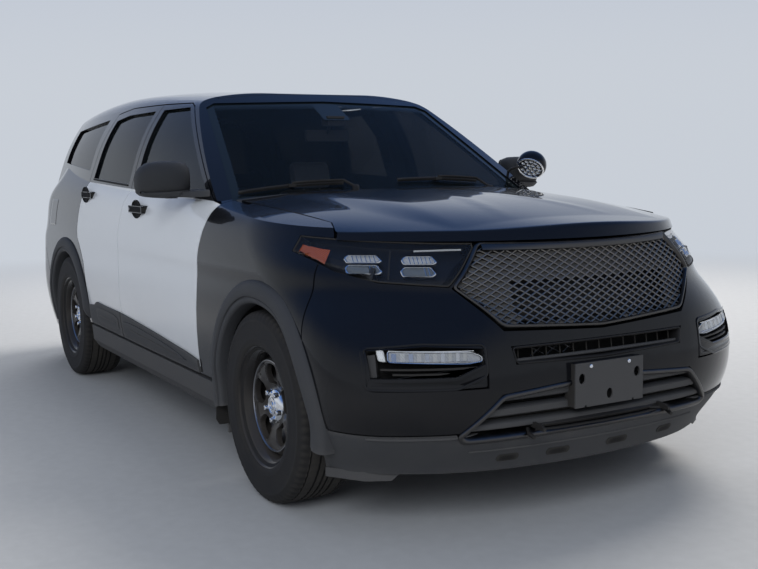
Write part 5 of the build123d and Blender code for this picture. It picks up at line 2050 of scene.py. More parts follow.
def pierced(
    outline: Outline, holes: Sequence[tuple[float, float, float, float]], place: Matrix, low: float,
    high: float,
) -> Form:
    """Flat plate with round or oval holes.

    Args:
        outline: Edge of the plate in the local XY plane.
        holes: (x, y, half width, half height) of each hole.
        place: Where the plane stands.
        low: Local height of the back.
        high: Local height of the face.

    Returns:
        The plate.
    """
    work = bmesh.new()
    loops = [outline]
    turns = [2 * math.pi * k / 20 for k in range(20)]
    for x, y, a, b in holes:
        loops.append([(x + a * math.cos(t), y + b * math.sin(t)) for t in turns])
    edges = []
    for loop in loops:
        points = [work.verts.new((x, y, 0)) for x, y in loop]
        edges += [work.edges.new((points[i - 1], points[i])) for i in range(len(points))]
    bmesh.ops.triangle_fill(work, use_beauty=True, use_dissolve=False, edges=edges)
    work.verts.index_update()
    flat = [v.co.copy() for v in work.verts]
    faces = [tuple(v.index for v in f.verts) for f in work.faces]
    work.free()
    form = Form()
    form.add([place @ Vector((p.x, p.y, high)) for p in flat], faces, 0)
    form.add([place @ Vector((p.x, p.y, low)) for p in flat], faces, 0)
    for loop in loops:
        form.patch([[place @ Vector((x, y, h)) for x, y in loop] for h in (low, high)], 0, around=True)
    return form


@dataclass
class ArchFlares:
    """Stepped flares with a rolled lip round the four wheels, and mud flaps behind the front pair.

    Attributes:
        inner: Radius of the lip.
        outer: Radius at the body.
        proud: How far a flare stands out of the body.
        root: Distance of a flare's inner edge from the middle plane.
        limit: Greatest distance of a flare from the middle plane.
        span: First and last angle round the axle in degrees.
        profile: (share from lip to body, share of the proud height) across a flare.
        flap: (|y|, z) outline of a mud flap.
    """

    inner: float = 0.409
    outer: float = 0.502
    proud: float = 0.030
    root: float = 0.903
    limit: float = 1.0010
    span: tuple[float, float] = (-9.0, 190.5)
    profile: Outline = (
        (0.00, -2.2), (0.00, 0.10), (0.02, 0.42), (0.07, 0.62), (0.16, 0.70), (0.24, 0.70), (0.27, 0.60),
        (0.30, 0.62), (0.33, 0.90), (0.42, 1.00), (0.60, 0.97), (0.78, 0.84), (0.91, 0.58), (0.98, 0.24),
        (1.00, -0.15),
    )
    flap: Outline = (
        (0.800, 0.425), (0.978, 0.425), (0.984, 0.240), (0.970, 0.215), (0.815, 0.215), (0.800, 0.240),
    )

    def build(self) -> None:
        """Make the flares and the flaps."""
        form = Form()
        for hand, sign in SIDES.items():
            skin = Skin(
                f"body_side_{hand}", "front_fenders", "front_bumper", "rear_bumper", f"front_door_{hand}",
                f"rear_door_{hand}")
            for x in (FRONT_AXLE_X, REAR_AXLE_X):
                form.join(self.flare(skin, x, sign))
        form.piece("stepped_flares", ["grain_grey"], replaces=["arch_flares"])
        self.flaps()

    def flaps(self) -> None:
        """Ribbed mud flaps behind the front wheels."""

        def hang(x: float, y: float, z: float) -> Vector:
            """Point of the leaning flap."""
            return Vector((x + 0.012 * (0.425 - z), y, z))

        flaps = Form()
        for sign in SIDES.values():
            flaps.loft([[hang(x, sign * y, z) for y, z in self.flap] for x in (1.170, 1.176)], 0)
            for z in (0.26, 0.30, 0.34):
                flaps.tube([hang(1.179, sign * y, z) for y in (0.82, 0.96)], 0.0022, 4, 0)
        flaps.piece("mud_flaps", ["satin_black"], edge=Edge.CRISP, bevel=0.001)

    def flare(self, skin: Skin, x: float, sign: float) -> Form:
        """One flare.

        Args:
            skin: Body surface.
            x: Axle position.
            sign: Side of the vehicle.

        Returns:
            The flare.
        """
        count = 96
        base = []
        for k in range(count + 1):
            a = math.radians(lerp(*self.span, k / count))
            spot = None
            for r in (0.512, 0.525, 0.54, 0.50, 0.49):
                spot = spot or skin.side(x + r * math.cos(a), TYRE_RADIUS + r * math.sin(a), sign)
            base.append(abs(spot.y) if spot and abs(spot.y) > 0.85 else None)
        known = [b for b in base if b is not None]
        base = [b if b is not None else known[0 if k < count / 2 else -1] for k, b in enumerate(base)]
        for _ in range(10):
            base = [base[0], *[(a + 2 * b + c) / 4 for a, b, c in zip(base, base[1:], base[2:])], base[-1]]
        rows = []
        for share, height in self.profile:
            row = []
            for k, body in enumerate(base):
                a = math.radians(lerp(*self.span, k / count))
                r = lerp(self.inner, self.outer, share)
                peak = min(self.limit, body + self.proud)
                y = max(self.root, body + (peak - body) * height)
                row.append(Vector((x + r * math.cos(a), sign * y, TYRE_RADIUS + r * math.sin(a))))
            rows.append(row)
        rows.append([Vector((p.x, sign * self.root, p.z)) for p in rows[-1]])
        form = Form().patch(rows, 0)
        for end in (0, -1):
            rim = [row[end] for row in rows]
            form.fan(rim, sum(rim, Vector()) / len(rim))
        return form


@dataclass
class DoorTrim:
    """Cladding, handles and belt strips of the doors.

    Attributes:
        cladding: (x, low z, high z) stations along both doors.
        split: Place along the body where the doors part.
        pads: Front and rear of each door's raised pad.
        belts: Front and rear of each door's belt strip.
        sill: (x, z) of the foot of the side windows.
        handles: Door and middle (x, |y|, z) of each handle.
    """

    cladding: Stations = (
        (0.945, 0.404, 0.462), (0.80, 0.404, 0.478), (0.40, 0.404, 0.506), (0.00, 0.404, 0.528),
        (-0.205, 0.404, 0.537), (-0.221, 0.404, 0.538), (-0.50, 0.404, 0.540), (-0.70, 0.404, 0.545),
        (-0.76, 0.404, 0.520), (-0.875, 0.404, 0.512),
    )
    split: float = -0.21
    pads: dict = field(default_factory=lambda: {"front": (0.80, -0.165), "rear": (-0.265, -0.70)})
    belts: dict = field(default_factory=lambda: {"front": (0.835, -0.135), "rear": (-0.285, -1.000)})
    sill: Outline = ((-1.010, 1.256), (-0.268, 1.228), (-0.148, 1.224), (0.800, 1.192), (0.848, 1.198))
    handles: Sequence[tuple[str, float, float, float]] = (
        ("front", 0.082, 0.965, 1.106), ("rear", -0.958, 0.944, 1.158),
    )

    def build(self) -> None:
        """Make the trim of each side."""
        for hand, sign in SIDES.items():
            for end in ("front", "rear"):
                skin = Skin(f"{end}_door_{hand}")
                self.clad(skin, end, hand, sign)
                self.belt(skin, end, hand, sign)
            for end, x, y, z in self.handles:
                self.handle(end, hand, sign, Vector((x, y, z)))

    def clad(self, skin: Skin, end: str, hand: str, sign: float) -> None:
        """Lower cladding of one door with a raised pad, and a near-black strip along the pad as painted
        shade of a groove.
        """
        stations = [c for c in self.cladding if (c[0] > self.split) == (end == "front")]
        form = side_plate(skin, stations, sign, 0.009, rows=4, step=0.05, crown=0.002)
        tops = [(x, z) for x, _, z in reversed(stations)]
        pad = []
        for k in range(9):
            x = lerp(*self.pads[end], k / 8)
            squeeze = 0.016 * abs(2 * k / 8 - 1) ** 4
            pad.append((x, 0.428 + squeeze, edge_at(tops, x) - 0.022 - squeeze))
        form.join(side_plate(skin, pad, sign, 0.0135, rows=3, step=0.05, crown=0.0015))
        # Painted shade: a dark strip standing on the pad's middle stands in for the shade of a groove.
        groove_shade = [(x, (low + high) / 2 - 0.003, (low + high) / 2 + 0.003) for x, low, high in pad[1:-1]]
        form.join(side_plate(skin, groove_shade, sign, 0.0156, rows=1, step=0.05).marked(1))
        form.piece(f"{end}_door_cladding_{hand}", ["grain_grey", "satin_black"],
                   body=f"{end}_door_{hand}")

    def belt(self, skin: Skin, end: str, hand: str, sign: float) -> None:
        """Soft strip along the foot of the window."""
        places = [lerp(*self.belts[end], k / 24) for k in range(25)]
        line = [skin.side(x, edge_at(self.sill, x) - 0.0075, sign, 0.001) for x in places]
        form = Form().tube([p for p in line if p], 0.0058, 8, 0, flat=0.7)
        form.piece(f"{end}_belt_strip_{hand}", ["seal_rubber"], body=f"{end}_door_{hand}")

    @staticmethod
    def handle(end: str, hand: str, sign: float, middle: Vector) -> None:
        """Black pull over a dished recess."""
        skin = Skin(f"{end}_door_{hand}")
        form = Form()
        sections = []
        for k in range(33):
            u = lerp(-1, 1, k / 32)
            u = math.copysign(abs(u) ** 0.8, u)
            tip = max(0.0, (abs(u) - 0.86) / 0.14)
            high = 0.0186 - 0.006 * tip**2
            face = middle.y + 0.0098 - 0.0035 * tip**2
            foot = middle.y - 0.040 if abs(u) > 0.52 else middle.y - 0.0096
            lip = high * 0.92
            ring = rounded([(foot, -high), (face, -lip), (face, lip), (foot, high)], 0.006, 3)
            sections.append([Vector((middle.x + u * 0.1110, sign * y, middle.z + z)) for y, z in ring])
        form.loft(sections, 0)
        around = [(middle.x + a, middle.z + b) for a in (-0.06, 0.0, 0.05) for b in (-0.046, 0.046)]
        flush = max(abs(skin.side(x, z, sign).y) for x, z in around) + 0.0005
        turn = Matrix(((1, 0, 0), (0, 0, sign), (0, 1, 0))).to_4x4()
        place = Matrix.Translation((middle.x - 0.010, sign * flush, middle.z)) @ turn
        dish = [(0.0440, -0.006), (0.0440, 0.0010), (0.0425, 0.0028), (0.0400, 0.0022), (0.0360, -0.002),
                (0.0300, -0.0035), (0.0001, -0.0040)]
        form.lathe(dish, place @ Matrix.Diagonal((1.65, 1.08, 1, 1)), 36, 2)
        if end == "front":
            key = Matrix.Translation((middle.x - 0.094, sign * (middle.y + 0.0095), middle.z)) @ turn
            form.lathe([(0.0085, -0.002), (0.0085, 0.0010), (0.0070, 0.0018), (0.0001, 0.0018)], key, 20, 1)
        form.piece(f"{end}_pull_{hand}", ["pit_black", "satin_metal", "pit_black"],
                   body=f"{end}_door_{hand}")


@dataclass
class DoorMirror:
    """Rounded mirror head on a low arm, with a parting line near its foot.

    Attributes:
        sections: (|y|, back x, front x, low z, high z) from the door outwards.
        seam: Height of the parting line.
        arm: The same measures along the arm, from the head to the door.
        pane: (|y|, z) outline of the mirror glass.
    """

    sections: Sections = (
        (0.903, 0.665, 0.722, 1.214, 1.290), (0.908, 0.650, 0.742, 1.200, 1.320),
        (0.922, 0.634, 0.762, 1.192, 1.336), (0.955, 0.624, 0.775, 1.185, 1.345),
        (1.000, 0.617, 0.778, 1.181, 1.3465), (1.045, 0.612, 0.768, 1.181, 1.345),
        (1.085, 0.608, 0.750, 1.184, 1.338), (1.110, 0.607, 0.728, 1.190, 1.322),
        (1.126, 0.610, 0.702, 1.202, 1.300), (1.1335, 0.618, 0.670, 1.222, 1.274),
    )
    seam: float = 1.210
    arm: Sections = (
        (0.990, 0.660, 0.745, 1.183, 1.205), (0.930, 0.660, 0.800, 1.181, 1.208),
        (0.905, 0.680, 0.850, 1.183, 1.212), (0.884, 0.700, 0.872, 1.184, 1.215),
        (0.868, 0.705, 0.885, 1.184, 1.216),
    )
    pane: Outline = ((0.925, 1.200), (1.110, 1.204), (1.118, 1.300), (1.070, 1.330), (0.935, 1.328))

    def build(self) -> None:
        """Make both mirrors."""
        for hand, sign in SIDES.items():
            self.head(hand, sign)
            self.glass(hand, sign)

    def head(self, hand: str, sign: float) -> None:
        """Head with its foot strip, arm and camera pod."""
        form = Form()
        rings = []
        for y, back, front, low, high in self.sections:
            ring = []
            for k in range(36):
                t = 2 * math.pi * k / 36
                c, s = math.cos(t), math.sin(t)
                power = 2.6 if c > 0 else 5.0
                size = (abs(c) ** power + abs(s) ** power) ** (-1 / power)
                x, z = lerp(back, front, 0.5 + 0.5 * c * size), lerp(low, high, 0.5 + 0.5 * s * size)
                ring.append(Vector((x, sign * y, z)))
            rings.append(ring)
        form.loft(rings, 0)
        strip = []
        for y, back, front, low, _ in self.sections[1:-1]:
            top = self.seam - 0.004 * (y - 1.0) / 0.1
            profile = [
                (back + 0.010, low - 0.0005), (front - 0.022, low - 0.0012), (front - 0.004, low + 0.010),
                (front + 0.0015, top - 0.002), (front - 0.002, top), (back - 0.0005, top),
                (back - 0.001, low + 0.012)]
            strip.append([Vector((x, sign * y, z)) for x, z in profile])
        form.loft(strip, 1)
        arm = []
        for y, back, front, low, high in self.arm:
            ring = rounded([(back, low), (front, low), (front, high), (back, high)], 0.010, 3)
            arm.append([Vector((x, sign * y, z)) for x, z in ring])
        form.loft(arm, 1)
        pod = ((0.700, 1.181), (0.760, 1.181), (0.752, 1.1775), (0.708, 1.1775))
        form.loft([[Vector((x, sign * y, z)) for x, z in pod] for y in (0.975, 1.020)], 2)
        form.piece(f"mirror_head_{hand}", ["grain_dark", "grain_grey", "satin_black"],
                   body=f"front_door_{hand}", replaces=[f"mirror_{hand}"])

    def glass(self, hand: str, sign: float) -> None:
        """Mirror glass in a thin dark rim."""
        pane = rounded(self.pane, 0.016, 4)
        rows = []
        for inset, x in ((-0.004, 0.6065), (-0.003, 0.6035), (0.001, 0.6030), (0.003, 0.6062)):
            rows.append([
                Vector((x + 0.12 * max(0.0, 1.0 - y), sign * y, z)) for y, z in shrunk(pane, inset)])
        glass = Form().patch(rows, 1, around=True)
        glass.add(rows[-1], [tuple(range(len(pane)))], 0)
        glass.piece(f"mirror_glass_{hand}", ["mirror_face", "satin_black"], body=f"front_door_{hand}")


@dataclass
class SearchLight:
    """Spotlight with a bright bezel and a clustered lens, on a stem at the pillar.

    Attributes:
        spot: Middle of the head, on its joint's axis.
        turn: Lean of the lens from straight up, about the joint's axis, in degrees.
        swing: Lean inwards in degrees.
        foot: Where the stem leaves the pillar.
        cells: (radius, count) of each ring of reflectors.
    """

    spot: Place = (0.877, 0.950, 1.291)
    turn: float = 151.0
    swing: float = 38.0
    foot: Place = (0.800, 0.838, 1.255)
    cells: Sequence[tuple[float, int]] = ((0.0, 1), (0.024, 6), (0.047, 12))

    def build(self) -> None:
        """Make the lamp and its stem."""
        place = stand(self.spot, self.turn, "Y") @ Matrix.Rotation(math.radians(self.swing), 4, "X")
        self.head(place)
        cover = [(0.0643, 0.0105), (0.050, 0.0118), (0.025, 0.0126), (0.0001, 0.0128)]
        lens = Form().lathe(cover, place, 48)
        lens.piece("searchlight_lens", ["lamp_clear"], slot="lamp_shell", body="spotlight",
                   edge=Edge.SMOOTH)
        self.stem()

    def head(self, place: Matrix) -> None:
        """Shell, hub, bezel and reflectors."""
        dome = [
            (0.0700, 0.0125), (0.0740, 0.0080), (0.0775, 0.0005), (0.0795, -0.010), (0.0790, -0.024),
            (0.0745, -0.041), (0.0650, -0.057), (0.0500, -0.070), (0.0330, -0.0775), (0.0160, -0.0805),
            (0.0001, -0.0812)]
        form = Form().lathe(dome, place, 56, 0)
        hub = [(0.009, 0.058), (0.009, 0.0775), (0.008, 0.0785), (0.0001, 0.0785)]
        form.lathe(hub, stand(self.spot, 90, "X"), 24, 0)
        arm = ((0.0, -0.066, 0.0), (-0.030, -0.064, 0.020), (-0.050, -0.045, 0.036),
               (-0.056, -0.012, 0.046))
        form.tube([Vector(self.spot) + Vector(p) for p in arm], 0.0065, 10, 0)
        bezel = [(0.0722, 0.0095), (0.0737, 0.0118), (0.0730, 0.0142), (0.0705, 0.0154), (0.0675, 0.0152),
                 (0.0650, 0.0130), (0.0640, 0.0095)]
        form.lathe(bezel, place, 56, 1)
        form.lathe([(0.0640, 0.0095), (0.0615, 0.0020), (0.0001, -0.004)], place, 56, 2)
        cup = [(0.0112, 0.0085), (0.0085, 0.002), (0.004, 0.0005), (0.0036, 0.0035), (0.0001, 0.0048)]
        for radius, count in self.cells:
            for k in range(count):
                a = 2 * math.pi * k / count
                spot = Matrix.Translation((radius * math.cos(a), radius * math.sin(a), 0.0))
                form.lathe(cup, place @ spot, 14, 3 if radius else 4)
        form.piece("searchlight", ["black_paint", "chrome", "lamp_black", "chrome", "lamp_white"],
                   slot="lamp_shell", body="spotlight", replaces=["spotlight"])

    def stem(self) -> None:
        """Bent stem from the pillar to the hub, with a collar at its foot."""
        foot = Vector(self.foot)
        head = Vector(self.spot) + Vector((0.0, -0.0800, 0.0))
        middle = foot.lerp(head, 0.5) + Vector((0, -0.004, 0.010))
        stem = Form().tube([foot, middle, head + Vector((0.0, -0.010, 0.0)), head], 0.0070, 12, 0)
        place = Matrix.Translation(foot) @ (head - foot).to_track_quat("Z", "Y").to_matrix().to_4x4()
        collar = [(0.0001, 0.012), (0.016, 0.012), (0.021, 0.008), (0.023, -0.004), (0.020, -0.012)]
        stem.lathe(collar, place, 24, 0)
        stem.piece("searchlight_stem", ["satin_black"], slot="lamp_shell")


@dataclass
class ScreenFoot:
    """Cowl and wipers at the foot of the windscreen.

    Attributes:
        blades: (y, x) of the tip and the root of each blade, then the (y, x) of its pivot.
        half: Half width of the cowl.
        search: x of a place behind the bonnet's rear edge and of one before it.
    """

    blades: Sequence[Outline] = (
        ((-0.765, 0.966), (-0.270, 1.030), (-0.230, 1.082)),
        ((0.020, 1.034), (0.500, 0.998), (0.550, 1.058)),
    )
    half: float = 0.790
    search: tuple[float, float] = (0.98, 1.35)

    def build(self) -> None:
        """Make the cowl and the wipers."""
        glass = Skin("windscreen")
        self.cowl(glass, Skin("bonnet"))
        wipers = Form()
        for blade in self.blades:
            self.wiper(wipers, glass, *blade)
        wipers.piece("screen_wipers", ["satin_black", "seal_rubber"])

    def cowl(self, glass: Skin, lid: Skin) -> None:
        """Ribbed strip between the windscreen's foot and the bonnet's rear edge."""
        rows: list[list[Vector]] = [[], [], [], []]
        for k in range(81):
            y = lerp(-self.half, self.half, k / 80)
            hit = brink(*self.search, lambda x: lid.top(x, y), 20)
            edge = lid.top(hit + 0.0005, y) or Vector((hit, y, 1.17))
            tries = (glass.top(edge.x - 0.004 * step, y) for step in range(30))
            spot = next((p for p in tries if p and p.z > edge.z - 0.004), edge + Vector((-0.06, 0, 0)))
            rows[0].append(spot + Vector((0.001, 0, 0.0035)))
            rows[1].append(spot.lerp(edge, 0.30) - UP * 0.004)
            rows[2].append(Vector((edge.x - 0.006, y, edge.z - 0.014)))
            rows[3].append(Vector((edge.x + 0.016, y, edge.z - 0.030)))
        cowl = Form().patch(rows, 0)
        for k in range(4, 77, 2):
            cowl.tube([row[k] + UP * 0.0015 for row in rows[1:3]], 0.002, 4, 1)
        cowl.piece("cowl_grille", ["grain_dark", "satin_black"])

    @staticmethod
    def wiper(
        form: Form, glass: Skin, tip: tuple[float, float], root: tuple[float, float],
        pivot: tuple[float, float],
    ) -> None:
        """Add one wiper that lies on the glass.

        Args:
            form: Form of the wipers.
            glass: Surface of the windscreen.
            tip: (y, x) of the blade's tip.
            root: (y, x) of its other end.
            pivot: (y, x) of the arm's pivot.
        """
        places = [(lerp(tip[1], root[1], k / 24), lerp(tip[0], root[0], k / 24)) for k in range(25)]
        blade = [p for p in (glass.top(x, y, 0.0125) for x, y in places) if p]
        form.tube(blade, 0.0072, 8, 0, flat=0.7)
        form.tube([p - UP * 0.0075 for p in blade], 0.0024, 4, 1)
        y, x = pivot
        foot = Vector((x, y, (glass.top(x - 0.03, y) or UP * 1.2).z - 0.012))
        middle = len(blade) // 2
        arm = [foot + UP * 0.014, *[p + Vector((0.004, 0, 0.011)) for p in reversed(blade[middle:])]]
        form.tube(arm, 0.0062, 6, 0, flat=0.6)
        stub = [(0.0001, 0.024), (0.011, 0.023), (0.016, 0.016), (0.017, -0.010)]
        form.lathe(stub, Matrix.Translation(foot), 20, 0)
        form.box((-0.012, -0.018, -0.006), (0.012, 0.018, 0.008), Matrix.Translation(blade[middle]), 0)


@dataclass
class Cabin:
    """Seats, dashboard, steering wheel, door cards and the inner mirror.

    Attributes:
        cushions: (name, low corner, high corner) of each seat cushion.
        backs: (name, middle, size, lean in degrees) of each back and head restraint.
        wheel: Middle of the steering wheel.
        rim: Radius of its rim.
        dash: (x, z) profile of the dashboard.
        dash_half: Half width of the dashboard.
        top: Greatest height of the instrument hood.
        cards: Front and rear of each door's inner panel.
    """

    cushions: Sequence[tuple[str, Place, Place]] = (
        ("driver_cushion", (-0.470, 0.132, 0.385), (0.038, 0.628, 0.558)),
        ("passenger_cushion", (-0.470, -0.628, 0.385), (0.038, -0.132, 0.558)),
        ("rear_bench", (-1.150, -0.618, 0.405), (-0.702, 0.618, 0.558)),
    )
    backs: Sequence[tuple[str, Place, Place, float]] = (
        ("driver_back", (-0.520, 0.380, 0.860), (0.118, 0.478, 0.636), -16),
        ("driver_headrest", (-0.640, 0.380, 1.250), (0.088, 0.248, 0.168), -16),
        ("passenger_back", (-0.520, -0.380, 0.860), (0.118, 0.478, 0.636), -16),
        ("passenger_headrest", (-0.640, -0.380, 1.250), (0.088, 0.248, 0.168), -16),
        ("rear_back", (-1.256, 0.0, 0.862), (0.118, 1.236, 0.636), -18),
    )
    wheel: Place = (0.430, 0.380, 0.960)
    rim: float = 0.180
    dash: Outline = (
        (0.600, 0.700), (0.566, 0.860), (0.548, 0.960), (0.590, 1.035), (0.660, 1.066), (0.940, 1.086),
        (0.985, 1.060), (0.985, 0.700),
    )
    dash_half: float = 0.755
    top: float = 1.0885
    cards: Sequence[tuple[str, tuple[float, float]]] = (
        ("front", (0.780, -0.050)), ("rear", (-0.370, -0.830)),
    )

    def build(self) -> None:
        """Make the cabin's pieces."""
        for index, (name, low, high) in enumerate(self.cushions):
            middle = [(a + b) / 2 for a, b in zip(low, high)]
            size = [b - a for a, b in zip(low, high)]
            self.pad(name, middle, size, 0, [] if index else ["seats"])
        for name, middle, size, lean in self.backs:
            self.pad(name, middle, size, lean, [])
        self.frames()
        self.dashboard()
        self.mirror()
        self.steering()
        for hand, sign in SIDES.items():
            for end, span in self.cards:
                self.card(end, hand, sign, span)

    def pad(self, name: str, middle: Sequence[float], size: Sequence[float], lean: float,
            replaces: Sequence[str]) -> None:
        """Crowned upholstered pad with stitched channels.

        Args:
            name: Name of the piece.
            middle: Its middle.
            size: Its extent before it leans.
            lean: Lean about the Y axis in degrees.
            replaces: CAD nodes that it stands for.
        """
        place = stand(middle, lean, "Y")
        deep, tall = (0, 2) if size[2] > size[0] else (2, 0)
        rings = []
        count = 30
        wide = size[1]
        seams = 2 if wide < 0.6 else 5
        for k in range(count + 1):
            u = -math.cos(math.pi * k / count)
            fall = (1 - abs(u) ** 6) ** (1 / 6)
            across = u * wide / 2
            ridge = abs(math.sin(math.pi * seams * (u + 1) / 2))
            ring = []
            for i in range(32):
                t = 2 * math.pi * i / 32
                c, s = math.cos(t), math.sin(t)
                grow = min(1.12, (abs(c) ** 3.4 + abs(s) ** 5) ** (-1 / 4.2)) / 2
                crown = 0.80 + 0.20 * (1 - s**4) * (0.72 + 0.28 * ridge)
                spot = [0.0, across, 0.0]
                spot[tall] = s * grow * size[tall] * (0.93 + 0.07 * fall) * max(0.02, fall) ** 0.25 / 1.02
                spot[deep] = c * grow * size[deep] * crown * max(0.02, fall) ** 0.5
                ring.append(place @ Vector(spot))
            rings.append(ring)
        cloth = "headrest_cloth" if "headrest" in name else "seat_cloth"
        made = Form().loft(rings[1:-1], 0).piece(name, [cloth], slot="seat_fabric", edge=Edge.SMOOTH,
                                                 smooth=1, replaces=replaces)

    def frames(self) -> None:
        """Head restraint posts, seat shells, recliner covers and the centre console."""
        form = Form()
        cover = [(0.0001, -0.012), (0.055, -0.012), (0.062, -0.006), (0.062, 0.006), (0.055, 0.012),
                 (0.0001, 0.012)]
        post = ((-0.603, 1.130), (-0.632, 1.215))
        for y in (-0.380, 0.380):
            for side in (-0.055, 0.055):
                form.tube([Vector((x, y + side, z)) for x, z in post], 0.006, 8, 1)
            form.box((-0.470, y - 0.235, 0.362), (0.020, y + 0.235, 0.420))
            for side in (-0.248, 0.248):
                form.lathe(cover, stand((-0.470, y + side, 0.520), 90, "X"), 28, 0)
        form.box((-0.560, -0.110, 0.380), (0.520, 0.110, 0.640))
        form.box((0.300, -0.095, 0.640), (0.520, 0.095, 0.860))
        form.piece("seat_frames_and_console", ["trim_cabin", "satin_metal"], edge=Edge.CRISP, bevel=0.006)

    def dashboard(self) -> None:
        """Dashboard with an instrument hood, a screen, vents and a glove box."""
        profile = rounded(self.dash, 0.030, 4)
        sections = []
        for k in range(49):
            y = lerp(-self.dash_half, self.dash_half, k / 48)
            hood = math.exp(-(((y - self.wheel[1]) / 0.17) ** 4))
            ring = []
            for x, z in profile:
                high = min(self.top, z + 0.022 * hood * (x < 0.75))
                ring.append(Vector((x - 0.035 * hood * (x < 0.72), y, high) if z > 0.98 else (x, y, z)))
            sections.append(ring)
        form = Form().loft(sections, 0)
        form.box((0.528, -0.120, 0.880), (0.552, 0.120, 1.040), mark=1)
        for y in (-0.66, -0.20, 0.20, 0.66):
            for z in (0.930, 0.945, 0.960):
                form.tube([Vector((0.552, y + side, z)) for side in (-0.05, 0.05)], 0.003, 6, 1)
        form.box((0.556, -0.600, 0.740), (0.572, -0.240, 0.850))
        form.piece("dash_moulding", ["trim_cabin", "lamp_black"], replaces=["dashboard"])

    @staticmethod
    def mirror() -> None:
        """Inner mirror and its housing on the windscreen."""
        top = Skin("windscreen").top(0.42, 0.0)
        form = Form().box((-0.03, -0.05, -0.060), (0.04, 0.05, -0.012), Matrix.Translation(top))
        head = Matrix.Translation(top + Vector((-0.070, 0.0, -0.110))) @ FACING_NOSE
        outline = rounded([(-0.125, -0.030), (0.125, -0.030), (0.125, 0.030), (-0.125, 0.030)], 0.018, 4)
        form.slab(outline, head, -0.012, 0.012, 0)
        form.slab([(y * 0.94, z * 0.86) for y, z in outline], head, -0.0135, -0.012, 1)
        form.tube([top + Vector((-0.02, 0, -0.04)), top + Vector((-0.062, 0, -0.100))], 0.008, 8, 0)
        form.piece("inner_mirror", ["trim_cabin", "mirror_face"], edge=Edge.CRISP, bevel=0.002)

    def steering(self) -> None:
        """Rim, three spokes and a padded boss."""
        place = stand(self.wheel, -65, "Y")
        turns = [2 * math.pi * k / 64 for k in range(64)]
        rim = [place @ Vector((self.rim * math.cos(a), self.rim * math.sin(a), 0.0)) for a in turns]
        form = Form().tube(rim, 0.0155, 12, 0, closed=True)
        boss = [(0.0001, 0.024), (0.030, 0.0225), (0.055, 0.016), (0.068, 0.004), (0.066, -0.012),
                (0.045, -0.024), (0.030, -0.060), (0.0001, -0.060)]
        form.lathe(boss, place, 36, 0)
        spoke = ((0.05, 0.002), (0.10, -0.006), (0.14, -0.006), (0.176, 0.0))
        for angle in (0, 90, -90):
            turn = place @ Matrix.Rotation(math.radians(angle), 4, "Z")
            form.tube([turn @ Vector((r, 0, h)) for r, h in spoke], 0.017, 8, 1, flat=0.40)
        form.piece("steering_rim", ["trim_cabin", "satin_metal"], body="steering_wheel",
                   replaces=["steering_wheel"])

    @staticmethod
    def card(end: str, hand: str, sign: float, span: tuple[float, float]) -> None:
        """Inner panel of a door with an armrest and a pull."""
        skin = Skin(f"{end}_door_{hand}")
        outward = Vector((0, sign, 0))

        def wall(x: float, z: float) -> float:
            """Distance of the door's inner face from the middle plane."""
            spot, _ = skin.cast(Vector((x, sign * 0.30, z)), outward)
            return abs(spot.y) if spot else 0.93

        grid = []
        for r in range(13):
            z = lerp(0.470, 1.130, r / 12)
            places = [lerp(*span, k / 14) for k in range(15)]
            grid.append([Vector((x, sign * (min(wall(x, z), 0.945) - 0.0085), z)) for x in places])
        form = Form().shell(grid, outward * 0.006)
        rest = []
        for k in range(13):
            x = lerp(span[0] - 0.12, span[1] + 0.06, k / 12)
            deep = 0.052 * (1 - abs(2 * k / 12 - 1) ** 6) + 0.004
            back = wall(x, 0.80) - 0.008
            near = back - deep
            ring = rounded([(back, 0.745), (near, 0.770), (near, 0.805), (back, 0.822)], 0.012, 3)
            rest.append([Vector((x, sign * y, z)) for y, z in ring])
        form.loft(rest, 0)
        pull = []
        for k in range(7):
            y = 0.905 - 0.02 * math.sin(math.pi * k / 6)
            pull.append(Vector((lerp(span[0] - 0.14, span[0] - 0.24, k / 6), sign * y, 0.93)))
        form.tube(pull, 0.008, 8, 1)
        form.piece(f"{end}_door_card_{hand}", ["trim_cabin", "satin_metal"], body=f"{end}_door_{hand}")


